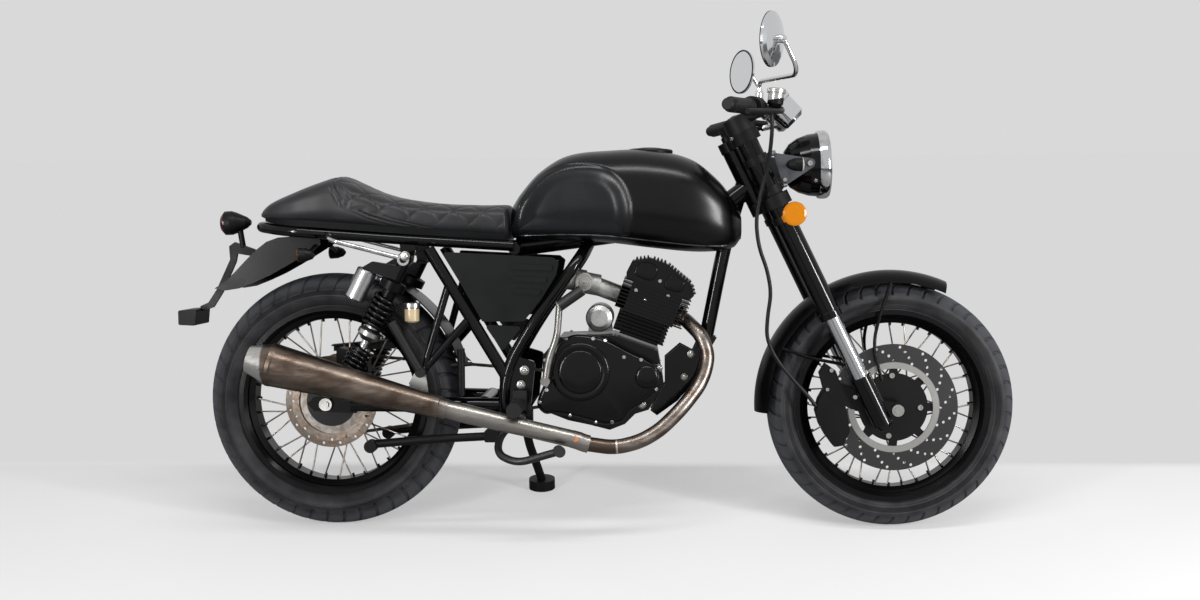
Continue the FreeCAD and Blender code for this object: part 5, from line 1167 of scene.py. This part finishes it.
def tank_finish():
    """Satin paint with a painted sheen: a touch greyer inside the knee panel."""
    material, tree, shader, place = start_material(
        "satin_paint_knee_panel", "040405", 0.3, gloss=0.26)
    knee = add_node(tree, "ShaderNodeAttribute", attribute_name="knee").outputs["Fac"]
    # Painted sheen: the knee panel is coloured greyer for the light it catches.
    tree.links.new(mix_colours(tree, knee, "040405", "101113"), shader.inputs["Base Color"])
    dust = grain(tree, place, 80, 4)
    tree.links.new(spread(tree, dust, 0.24, 0.3), shader.inputs["Roughness"])
    emboss(tree, shader, grain(tree, place, 1.6), 0.008)
    return material


tank_points, tank_faces, knee_shares = tank_form()
tank = make_piece("fuel_tank_shell", tank_points, tank_faces, tank_finish(), "tank_paint",
                  "fuel_tank", smooth_angle=60)
knee = tank.data.attributes.new("knee", "FLOAT", "POINT")
knee.data.foreach_set("value", knee_shares[:len(tank.data.vertices)])

for side, word in SIDES:
    seam_path = []
    for step in range(25):
        x, y, z = tank_point(0.004 + 0.992 * step / 24, SEAM_ANGLE)
        seam_path.append((x, side * abs(y) * 1.004, z - 0.5))
    # The seam is lighter grey steel: a painted highlight along the tank's bottom.
    tube_piece("tank_seam_" + word, seam_path, 2.0, seam_highlight_steel)

# %% [markdown]
# ## The seat
# A foam block under a tight leather cover: a hump behind the rider, a dip, and a nearly level
# front. The rider's part is quilted in diamonds of about 70 mm; the hump's sides are plain, and a
# welted seam runs between them. The cover is a fine grid on the form's sections. Foam pushes the
# leather up between the quilting lines, so the height grows quickly near a line and then levels
# off.

# %% Seat form
SEAT_HALF = 118
SEAT_SQUARENESS = 3.2
SEAT_STATIONS = [(-166, .45, 746, 764), (-136, .76, 738, 786), (-80, .94, 730, 811),
                 (-20, 1, 726, 834), (28, 1, 722, 846), (70, 1, 719, 829), (120, .99, 715, 807),
                 (170, .98, 711, 793), (260, .94, 705, 780), (360, .88, 698, 775),
                 (432, .84, 694, 775)]
SEAT_SEAM = [(16, 856), (22, 838), (30, 812), (46, 786), (72, 768), (110, 751), (160, 735),
             (220, 720), (290, 703), (330, 690)]
DIAMOND = 68
PAD_HEIGHT = 2.4
PAD_ROUNDING = 4.5
# Each groove along the welt has a depth, a distance from the seam and a width.
WELT_GROOVES = ((3.6, 0, 2.2), (1.8, 9, 1.6))
QUILT_END = (118, 160)


def quilt_height(x, around):
    """How far the foam lifts the leather between two crossing sets of lines."""
    nearest = 1e9
    for turned in (x + around, x - around):
        phase = (turned / DIAMOND) % 1.0
        nearest = min(nearest, min(phase, 1 - phase) * DIAMOND * 0.7071)
    return PAD_HEIGHT * (1 - math.exp(-nearest / PAD_ROUNDING))


def distances_round(ring):
    """How far each point of a section lies from its top, along the section."""
    count = len(ring)
    top = count // 4
    arc = [0.0] * count
    for way in (1, -1):
        length = 0.0
        for step in range(1, count // 2):
            a, b = ring[(top + way * (step - 1)) % count], ring[(top + way * step) % count]
            length += math.hypot(a[0] - b[0], a[1] - b[1])
            arc[(top + way * step) % count] = length
    return arc


def seat_form(rows=290, columns=220):
    start, end = SEAT_STATIONS[0][0], SEAT_STATIONS[-1][0]
    points = []
    for row in range(rows):
        x = start + (end - start) * row / (rows - 1)
        width, low, high = smooth_between(SEAT_STATIONS, x)
        edge = min(x - start, (end - x) * 1.6)
        round_off = 1 - 0.12 * (1 - soft_step(edge, 0, 14)) ** 2
        half = SEAT_HALF * width * round_off
        middle = (low + high) / 2
        low, high = middle + (low - middle) * round_off, middle + (high - middle) * round_off
        ring = [section_point(half, low, high, SEAT_SQUARENESS, 2 * math.pi * c / columns)
                for c in range(columns)]
        arc = distances_round(ring)
        for column, (y, z) in enumerate(ring):
            lift = -PAD_HEIGHT * 0.5
            above = line_distance(SEAT_SEAM, x, z)
            if z > middle - 20:
                side_fade = 1 - soft_step(arc[column], *QUILT_END)
                lift += quilt_height(x, arc[column]) * soft_step(above, 2, 12) * side_fade
            if abs(y) > 0.5 * half and z > low + 12:
                for depth, away, wide in WELT_GROOVES:
                    lift -= depth * math.exp(-((abs(above) - away) / wide) ** 2)
            after, before = ring[(column + 1) % columns], ring[column - 1]
            ny, nz = after[1] - before[1], -(after[0] - before[0])
            size = math.hypot(ny, nz) or 1
            points.append((x, y - ny / size * lift, z - nz / size * lift))
    ends = [(start + 0.5, 0, 755), (end - 0.5, 0, 735)]
    return points + ends, closed_grid(rows, columns)


seat = make_piece("seat_cover", *seat_form(), leather, "seat_leather", "seat", smooth_angle=70)

# %% Seat base
# The black board under the foam rests on the frame's rails.
BOARD_ROWS = 40
BOARD_REAR, BOARD_LENGTH = -150, 578
board_points = []
for row in range(BOARD_ROWS):
    x = BOARD_REAR + BOARD_LENGTH * row / (BOARD_ROWS - 1)
    width, low, high = smooth_between(SEAT_STATIONS, x)
    half = SEAT_HALF * width * 0.93
    board_points += [(x, y, z) for y, z in ((-half, low + 14), (-half + 4, low - 1.5),
                                            (half - 4, low - 1.5), (half, low + 14))]
last_row = tuple(range(4 * BOARD_ROWS - 4, 4 * BOARD_ROWS))
make_piece("seat_base_board", board_points,
           grid_faces(BOARD_ROWS, 4) + [(3, 2, 1, 0), last_row], panel_plastic, "black_plastic")

# %% Exhaust joint
# A sleeve covers the place where the silencer's pipe meets the header under the engine.
tube_piece("exhaust_joint_sleeve", [(586, -180, 236.5), (600, -179.2, 232.6), (612, -178, 227),
                                    (624, -176.6, 223.8)],
           20.6, joint_finish, 48)

# %% [markdown]
# ## Headlamp
# A round lamp 163 mm across: an enamelled bowl, a chrome bezel that rolls over the glass, a
# mirror-bright reflector and a domed lens with upright flutes. Clear glass shows what is behind
# it, so the reflector and its bulb's cap are real shapes, and the flutes are drawn in the glass.

# %% Headlamp
LAMP = Vector((1168, 0, 867.6))
LAMP_WAY = Vector((1, 0, 0.035))
FLUTE_MM = 7


def ribbed_glass():
    """Pressed glass: upright flutes inside a clear dome."""
    material, tree, shader, place = start_material(
        "fluted_lamp_glass", "F4F6F7", 0.03, transmission_weight=1.0)
    across = along_way(tree, place, LAMP, (0, 1, 0))
    emboss(tree, shader, waves(tree, across, 2 * math.pi / FLUTE_MM), 0.5)
    return material


for name, material, slot, stands_for, count, profile in (
        ("headlamp_bezel", chrome, "chrome_plate", "headlamp_lens", 96, [
            (-3, 76.4), (-3, 79.5), (1, 81), (12, 81.5), (19, 80), (23, 76.5), (24, 72),
            (21.5, 70.5), (14, 73), (-3, 76.4)]),
        ("headlamp_reflector", mirror_glass, "chrome_plate", None, 64, [
            (1, 0.1), (1.2, 22), (3.5, 44), (9, 61), (16, 71.5), (14.5, 73.5), (5, 66),
            (0.4, 50), (0.4, 0.1)]),
        ("headlamp_bulb_cap", chrome, "chrome_plate", None, 40, [
            (1.6, 0.1), (1.6, 17), (8, 16), (13, 11), (15, 0.1)]),
        ("headlamp_glass", ribbed_glass(), "lamp_glass", "headlamp_lens", 96, [
            (18, 72), (22, 66), (26.5, 50), (29.5, 28), (30.5, 0.1), (27.5, 0.1), (26.5, 28),
            (23.5, 49), (19, 64), (16, 71), (18, 72)])):
    turned_piece(name, profile, LAMP, LAMP_WAY, material, slot, stands_for, "steering", count)

# %% [markdown]
# ## Gauges and mirror glasses
# Each gauge has a chrome cup in the CAD model. Its face is a black card with white ticks, the red
# hub of a needle, and a flat glass under a thin rim. A ray that comes straight at the cup finds
# its end.
# The mirrors' glass is a silvered disc with a slight crown, a millimetre proud of its shell.

# %% Helpers that find a surface
TO_UPRIGHT = BIKE.inverted()


def skin_of(*names):
    """The surfaces of some pieces, for finding places on them."""
    points, faces = [], []
    for name in names:
        mesh = (frame["nodes"].get(name) or bpy.data.objects[name]).data
        first = len(points)
        points += [TO_UPRIGHT @ vertex.co for vertex in mesh.vertices]
        faces += [tuple(first + corner for corner in face.vertices) for face in mesh.polygons]
    return BVHTree.FromPolygons(points, faces)


def met_from(skin, start, way):
    """Where a ray on the upright machine first meets a surface, and how the surface faces."""
    return skin.ray_cast(Vector(start), Vector(way).normalized())[:2]


def seen_at(skin, u, v):
    """Where a point of the photograph falls on a surface of the upright machine."""
    eye = TO_UPRIGHT @ camera.matrix_world.translation
    pixel = Vector((u - PHOTO_WIDTH / 2, PHOTO_HEIGHT / 2 - v, -FOCAL_PIXELS))
    far = TO_UPRIGHT @ (camera.matrix_world.translation + aim.to_3x3() @ pixel)
    return met_from(skin, eye, far - eye)


# %% Gauge faces
GAUGE_WAY = Vector((-0.72, 0, 0.69)).normalized()
GAUGE_LOW = Vector((1108, 42, 968))
GAUGE_PIECES = [
    ("gauge_card_", dial_card, "black_plastic", 64, [
        (-0.3, 0.1), (-0.3, 32), (0.5, 32), (0.5, 0.1)]),
    ("gauge_rim_", mirror_chrome, "chrome_plate", 64, [
        (-0.3, 32.2), (-0.3, 36.2), (2.6, 36.2), (3.6, 35), (3.6, 33), (2.4, 32.2),
        (-0.3, 32.2)]),
    ("gauge_glass_", clear_glass, "lamp_glass", 64, [
        (1.8, 0.1), (1.8, 32), (2.4, 32), (2.8, 16), (2.9, 0.1)]),
    ("gauge_needle_", needle_ink, "signal_red", 24, [
        (0.55, 0.1), (0.55, 3.4), (1.5, 3.2), (1.5, 0.1)]),
]
TICKS = 40


def tick_mesh(name):
    """One tick, pointing at the middle of a dial that faces along y."""
    corners = [(x, y, z) for y in (0.6, 0.9) for x, z in ((-0.5, 24), (0.5, 24), (0.5, 29),
                                                          (-0.5, 29))]
    sides = [(a, (a + 1) % 4, (a + 1) % 4 + 4, a + 4) for a in range(4)]
    return plain_mesh(name, corners, [(0, 1, 2, 3), (4, 7, 6, 5)] + sides)


gauge_skin = skin_of("instruments")
dial_turn = GAUGE_WAY.to_track_quat("Y", "Z").to_matrix().to_4x4()
for side, word in SIDES:
    start = Vector((GAUGE_LOW.x, side * GAUGE_LOW.y, GAUGE_LOW.z))
    face_place = met_from(gauge_skin, start + GAUGE_WAY * 200, -GAUGE_WAY)[0]
    for name, material, slot, count, profile in GAUGE_PIECES:
        turned_piece(name + word, profile, face_place, GAUGE_WAY, material, slot, None,
                     "steering", count)
    grow("gauge_ticks_" + word, copies_round_axle, tick_mesh("tick_" + word), {"Count": TICKS},
         dial_ink, None, "steering",
         BIKE @ Matrix.Translation(face_place) @ dial_turn)

# %% Mirror glasses
MIRROR_PLACES = {"right": (1019, -396, 1109), "left": (1010, 335, 1130)}
for side, word in SIDES:
    look = Vector((-1, -side * 0.53, 0.06)).normalized()
    turned_piece("mirror_glass_" + word, [(0.4, 0.1), (0.4, 53.5), (1.5, 53), (1.9, 30),
                                          (2.1, 0.1)],
                 MIRROR_PLACES[word], look, mirror_glass, "chrome_plate", None, "steering", 96)
    turned_piece("mirror_gasket_" + word, [(0.2, 53.6), (0.2, 57.4), (1.6, 57.6), (2.6, 56),
                                           (2.2, 53.8), (0.2, 53.6)],
                 MIRROR_PLACES[word], look, hose_rubber, "black_rubber", None, "steering", 96)

# %% [markdown]
# ## Engine covers
# The clutch cover and the generator cover are castings with rolled edges, painted gloss black: all
# that shows of them is the light along each rounded edge. The outline is drawn as a smooth closed
# line, and rings of it shrink inwards while they rise, which rolls the edge over. The round domes
# on them are turned.

# %% Raised plates
def raised_plate(name, outline, base, top, roll, stands_for=None, steps=6):
    """A closed plate between two distances across the machine, with a rolled outer edge."""
    line = [Vector(point) for point in rounded(outline, steps)]
    count = len(line)
    turn = sum(a.x * b.y - b.x * a.y for a, b in zip(line, line[1:] + line[:1]))
    inwards = []
    for number in range(count):
        along = (line[(number + 1) % count] - line[number - 1]).normalized()
        inwards.append(Vector((-along.y, along.x)) * math.copysign(1, turn))
    way = math.copysign(1, top - base)
    rings = [(0, base)]
    for step in range(7):
        angle = math.pi / 2 * step / 6
        rings.append((roll * (1 - math.cos(angle)), top - way * roll * (1 - math.sin(angle))))
    rings.append((roll + 5, top + way * 0.5))
    points = []
    for inset, height in rings:
        points += [(p.x + n.x * inset, height, p.y + n.y * inset)
                   for p, n in zip(line, inwards)]
    middle = sum(line, Vector((0, 0))) / count
    points += [(middle.x, base, middle.y), (middle.x, top + way * 1.2, middle.y)]
    return make_piece(name, points, closed_grid(len(rings), count), engine_enamel,
                      "engine_black", stands_for, smooth_angle=50)


# %% Engine covers
CASE_SIDE = 84.5
CLUTCH_SIDE = 126.3
GENERATOR_SIDE = 118.3
COVER_ROLL = 10
raised_plate("clutch_cover", [
    (532, 378), (537, 424), (547, 450), (580, 469), (608, 472), (650, 464), (684, 450),
    (719, 431), (759, 412), (782, 396), (791, 366), (779, 338), (754, 314), (719, 291),
    (700, 267), (660, 260), (625, 269), (578, 281), (543, 286), (518, 286), (501, 307),
    (511, 342)], -CASE_SIDE, -CLUTCH_SIDE, COVER_ROLL, "engine_covers")
raised_plate("generator_cover", [
    (524, 320), (520, 420), (560, 452), (690, 458), (772, 420), (786, 352), (752, 298),
    (700, 276), (560, 276)], CASE_SIDE, GENERATOR_SIDE, COVER_ROLL, "engine_covers")
for name, origin, side, count, profile in (
        ("clutch_dome", (603, -126, 385), RIGHT, 96, [
            (-3, 0.1), (-3, 69), (1.5, 68.6), (4.2, 67), (5.8, 64), (6.2, 60), (6, 55), (5, 53),
            (5.2, 51.3), (7.5, 50.5), (9.4, 48), (10.2, 44), (10.6, 24), (10.8, 0.1)]),
        ("shaft_dome", (758, -126, 373), RIGHT, 64, [
            (-3, 0.1), (-3, 27.5), (2, 27), (5, 24.5), (6.4, 20), (6.8, 10), (7, 0.1)]),
        ("generator_drum", (690, 118, 368), LEFT, 96, [
            (-4, 0.1), (-4, 62), (8, 61.6), (11, 59), (12.6, 54), (13, 46), (12, 44),
            (12, 0.1)])):
    turned_piece(name, profile, origin, (0, side, 0), engine_enamel, "engine_black",
                 "engine_covers", count=count)

# %% [markdown]
# ## Rocker cover
# The top of the engine is a cast cover with cooling ribs across it and inspection caps on its
# sides. The ribs stand on the cover's outline, one every 9 mm, so they are copies of one small
# block on places along that line, turned the way the line faces.

# %% Rocker cover's caps and the places of its ribs
CYLINDER = (Matrix.Translation((735, 0, 446))
            @ Matrix.Rotation(math.radians(CYLINDER_TILT), 4, "Y"))
COVER_LINE = [(90, 151), (74, 175), (4, 201), (-38, 201), (-76, 181)]
RIB_PITCH = 9
CAP_INNER, CAP_OUTER, CAP_ROLL = 55.5, 61, 2.5
CAPS = (("inspection_cap_", [(16, 147), (54, 147), (60, 168), (50, 177), (22, 178)]),
        ("breather_cap_", [(-58, 152), (-16, 152), (-14, 184), (-40, 190), (-60, 176)]))

rib_spots = []
for (ax, az), (bx, bz) in zip(COVER_LINE, COVER_LINE[1:]):
    start, end = Vector((ax, 0, az)), Vector((bx, 0, bz))
    along = (end - start).normalized()
    out = CYLINDER.to_3x3() @ Vector((along.z, 0, -along.x))
    for step in range(int((end - start).length / RIB_PITCH)):
        spot = start + along * (RIB_PITCH * (step + 0.5))
        rib_spots.append((CYLINDER @ spot, out, 1.0))
for side, word in SIDES:
    for name, outline in CAPS:
        turned_outline = [tuple((CYLINDER @ Vector((x, 0, z))).xz) for x, z in outline]
        raised_plate(name + word, turned_outline, side * CAP_INNER, side * CAP_OUTER, CAP_ROLL,
                     steps=4)
print("ribs", len(rib_spots))

# %% Filler cap and throttle wheel
turned_piece("filler_cap", [(0, 0.1), (0, 53), (5, 54), (8.5, 52), (9.6, 46), (9.6, 31),
                            (11.6, 29), (12.6, 22), (12.6, 0.1)],
             (768, 0, 898), (0.02, 0, 1), satin_cap, "black_satin", "fuel_cap", count=72)
turned_piece("throttle_wheel", [(-1, 0.1), (-1, 21.6), (2, 21.6), (2.6, 20), (2.2, 17),
                                (1.2, 16), (1.2, 12), (2.4, 11), (2.4, 5.5), (4.5, 5),
                                (4.8, 0.1)],
             (609, -52, 592), (0, -1, 0), bright_bolt, "cast_silver", count=48)

# %% [markdown]
# ## Screws
# The covers, plates and brackets are held by socket screws and hexagon bolts. They catch the light
# as small bright dots all over the black engine. One head is drawn once, and Geometry Nodes puts a
# copy on every place, turned the way the surface faces and scaled to its own radius. The places
# are found with a ray from the camera through the dot in the photograph, so each head sits on the
# CAD surface that carries it.

# %% Screw tree
def screws_tree():
    tree, entry = start_tree("heads_on_places", {"Head": "Object"})
    facing = add_node(tree, "GeometryNodeInputNamedAttribute", {"Name": "facing"},
                      data_type="FLOAT_VECTOR").outputs["Attribute"]
    size = add_node(tree, "GeometryNodeInputNamedAttribute", {"Name": "size"},
                    data_type="FLOAT").outputs["Attribute"]
    turn = add_node(tree, "FunctionNodeAlignRotationToVector", {
        "Factor": 1.0, "Vector": facing}, axis="Z")
    head = add_node(tree, "GeometryNodeObjectInfo", {"Object": entry["Head"]})
    return copy_to_points(tree, entry, Points=entry["Geometry"], Scale=size,
                          Instance=head.outputs["Geometry"], Rotation=turn.outputs["Rotation"])


heads_on_places = screws_tree()


def head_object(name, profile, corners):
    """A screw head of radius one, standing on the z axis."""
    return placed(name, plain_mesh(name, turned_points(profile, corners, (0, 0, 0), (0, 0, 1),
                                                       (1, 0, 0)),
                                   grid_faces(len(profile), corners)))


def rib_block():
    """A small cast rib across the cover, with its long edges broken."""
    section = [(-2.4, -1), (-1.8, 5), (-1, 6), (1, 6), (1.8, 5), (2.4, -1)]
    points = [(x, y, z) for y in (-50, 50) for x, z in section]
    faces = grid_faces(2, 6) + [tuple(range(6)), tuple(range(11, 5, -1))]
    return placed("rib_block", plain_mesh("rib_block", points, faces))


socket_head = head_object("socket_head", [(-0.3, 0.02), (-0.3, 1), (0.55, 1), (0.7, 0.88),
                                          (0.7, 0.5), (0.3, 0.48), (0.3, 0.02)], 18)
hexagon_head = head_object("hexagon_head", [(-0.3, 0.02), (-0.3, 0.86), (0.55, 0.86),
                                            (0.62, 0.76), (0.62, 0.5), (0.7, 0.48),
                                            (0.78, 0.02)], 6)
washer = head_object("washer", [(-0.3, 0.02), (-0.3, 1.4), (0.14, 1.4), (0.2, 1.3), (0.2, 0.02)],
                     24)
rib = rib_block()


def make_screws(name, head, spots, material=bright_bolt, body="chassis"):
    """Heads on spots, each a place, a facing and a radius in millimetres."""
    mesh = plain_mesh(name + "_places", [spot[0] for spot in spots])
    facing = mesh.attributes.new("facing", "FLOAT_VECTOR", "POINT")
    for entry, spot in zip(facing.data, spots):
        entry.vector = Vector(spot[1])
    size = mesh.attributes.new("size", "FLOAT", "POINT")
    size.data.foreach_set("value", [spot[2] for spot in spots])
    grow(name, heads_on_places, mesh, {"Head": head}, material, body=body)


def spots_seen(skin, dots, usual=None):
    """Spots from dots of the photograph: across, down and, where it differs, a radius."""
    spots = []
    for u, v, *radius in dots:
        place, facing = seen_at(skin, u, v)
        if place is not None:
            spots.append((place, facing, *(radius or [usual])))
    return spots


def mirrored(skin, spots):
    """The same spots on the left side, where a ray across the machine meets the surface."""
    found = []
    for place, _, radius in spots:
        other, way = met_from(skin, (place.x, 420, place.z), (0, -1, 0))
        if other is not None:
            found.append((other, way, radius))
    return found


make_screws("rocker_cover_ribs", rib, rib_spots, engine_enamel)

# %% Screws of the engine
engine_skin = skin_of("clutch_cover", "clutch_dome", "shaft_dome", "generator_cover", "crankcase")
cover_spots = spots_seen(engine_skin, [
    (554, 352), (566, 339), (593, 339), (605, 341), (624, 357), (641, 360), (658, 368),
    (656, 389), (642, 404), (596, 422), (570, 415), (540, 402), (547, 390), (612, 422),
    (545, 360)], 4.4)
make_screws("cover_screws", socket_head, cover_spots)
make_screws("left_cover_screws", socket_head, mirrored(engine_skin, cover_spots))
make_screws("head_screws", socket_head, spots_seen(skin_of("cylinder_head", "cylinder"), [
    (642, 269, 5), (653, 269), (649, 274, 4), (674, 278, 5), (679, 281), (670, 284, 5),
    (660, 281), (645, 300), (668, 296), (636, 290)], 4.5))

# %% Bolts of the frame, plates and brackets
frame_skin = skin_of("frame_cradle", "engine_mounts", "subframe", "swingarm", "grab_rails",
                     "shock_bodies", "silencer", "crankcase", "clutch_cover", "exhaust_header")
plate_spots = spots_seen(frame_skin, [
    (524.5, 370.5, 8), (521, 385, 7.2), (518.5, 397.5, 7.2), (691, 354), (684, 377, 6),
    (659, 368), (642, 405), (412, 377, 6), (322.4, 240), (405, 256, 8)], 6.5)
make_screws("plate_bolts", hexagon_head, plate_spots)
make_screws("plate_washers", washer, plate_spots, zinc)
make_screws("left_plate_bolts", hexagon_head, mirrored(frame_skin, plate_spots[:7]))
fork_skin = skin_of("headlamp_brackets", "headlamp_shell", "front_caliper", "fork_feet",
                    "fork_yokes")
make_screws("fork_bolts", socket_head, spots_seen(fork_skin, [
    (773.6, 156.7), (785, 179.6), (810, 163.3, 6.5), (816, 180, 4.5), (831.4, 370.4),
    (855, 397, 5.5), (827.4, 389.4, 4.5), (732, 139)], 5), body="steering")
wheel_skin = skin_of("front_hub", "front_disc")
CARRIER_BOLT = 7
wheel_spots = []
for x, z in ((1336, 368), (1403, 292), (1329, 225), (1251, 318)):
    place, facing = met_from(wheel_skin, (x, -200, z), (0, 1, 0))
    if place is not None:
        wheel_spots.append((place, facing, CARRIER_BOLT))
make_screws("carrier_bolts", socket_head, wheel_spots, body="front_wheel")
for head in (socket_head, hexagon_head, washer, rib):
    bpy.data.objects.remove(head)

# %% [markdown]
# ## Floor, backdrop and light
# The photograph was taken in a studio: a pale floor that runs up into a paler wall, a long lamp
# overhead, two tall ones on the right, in front and behind, and pale surfaces all round that draw
# the edges of the black parts. The world is pale for the camera and for reflections and weaker as
# a light, and the floor is greyer in reflections than it looks.

# %% Floor and light
FLOOR_EDGE = 0.415
FLOOR_CORNERS = [(-9, -7, 0), (9, -7, 0), (9, 9, 0), (-9, 9, 0)]


def paper(name):
    """Paper that takes shadows: pale in front, and the wall's grey behind the machine."""
    material, tree, shader, place = start_material(name, "EDEDED", 0.9)
    across = add_node(tree, "ShaderNodeSeparateXYZ", {"Vector": place}).outputs["Y"]
    edge = ground_zero.y + FLOOR_EDGE
    behind = spread(tree, across, 0, 1, edge - 0.02, edge + 0.03)
    soft = spread(tree, grain(tree, place, 400, 2), 0, 1)
    rays = add_node(tree, "ShaderNodeLightPath").outputs
    pale = mix_colours(tree, soft, "E6E6E6", "E3E3E3")
    tree.links.new(mix_colours(tree, rays["Is Glossy Ray"], pale, "8E8E8E"),
                   shader.inputs["Base Color"])
    share = calculate(tree, "MULTIPLY_ADD", behind, 0.55, 0.45)
    glow = add_node(tree, "ShaderNodeEmission", {
        "Strength": 1.0, "Color": mix_colours(tree, behind, "E7E7E7", "D8D8D8")})
    blend = add_node(tree, "ShaderNodeMixShader", {
        "Fac": calculate(tree, "MULTIPLY", rays["Is Camera Ray"], share),
        1: shader.outputs["BSDF"], 2: glow.outputs["Emission"]})
    end = [n for n in tree.nodes if n.type == "OUTPUT_MATERIAL"][0]
    tree.links.new(blend.outputs["Shader"], end.inputs["Surface"])
    return material


floor_mesh = plain_mesh("floor", FLOOR_CORNERS, [(0, 1, 2, 3)])
floor_mesh.materials.append(paper("pale_floor_paper"))
placed("floor", floor_mesh)


def make_world():
    world = bpy.data.worlds.new("studio")
    world.use_nodes = True
    tree = world.node_tree
    tree.nodes.clear()
    rays = add_node(tree, "ShaderNodeLightPath").outputs
    seen = calculate(tree, "MAXIMUM", rays["Is Camera Ray"], rays["Is Glossy Ray"])
    seen = calculate(tree, "MAXIMUM", seen, rays["Is Transmission Ray"])
    light = add_node(tree, "ShaderNodeBackground", {"Color": "FFFFFF", "Strength": 0.36})
    wall = add_node(tree, "ShaderNodeBackground", {"Color": "D9D9D9", "Strength": 1.0})
    blend = add_node(tree, "ShaderNodeMixShader", {
        "Fac": seen, 1: light.outputs["Background"], 2: wall.outputs["Background"]})
    add_node(tree, "ShaderNodeOutputWorld", {"Surface": blend.outputs["Shader"]})
    return world


bpy.context.scene.world = make_world()

for name, place, aim_at, width, height, watts in (
        ("overhead", (0.1, -1.2, 3.1), (0, 0, 0.5), 2.8, 0.3, 50),
        ("front_right", (2.7, -1.9, 1.2), (0.4, 0, 0.6), 0.26, 1.2, 84),
        ("rear_right", (-1.9, -2.7, 1.25), (0, 0, 0.55), 0.14, 1.5, 56)):
    lamp = bpy.data.lights.new(name, "AREA")
    lamp.shape = "RECTANGLE"
    lamp.size, lamp.size_y = width, height
    lamp.energy = watts
    turn = (Vector(aim_at) - Vector(place)).to_track_quat("-Z", "Y").to_matrix().to_4x4()
    placed(name, lamp).matrix_world = Matrix.Translation(place) @ turn
print("lights", len(bpy.data.lights))
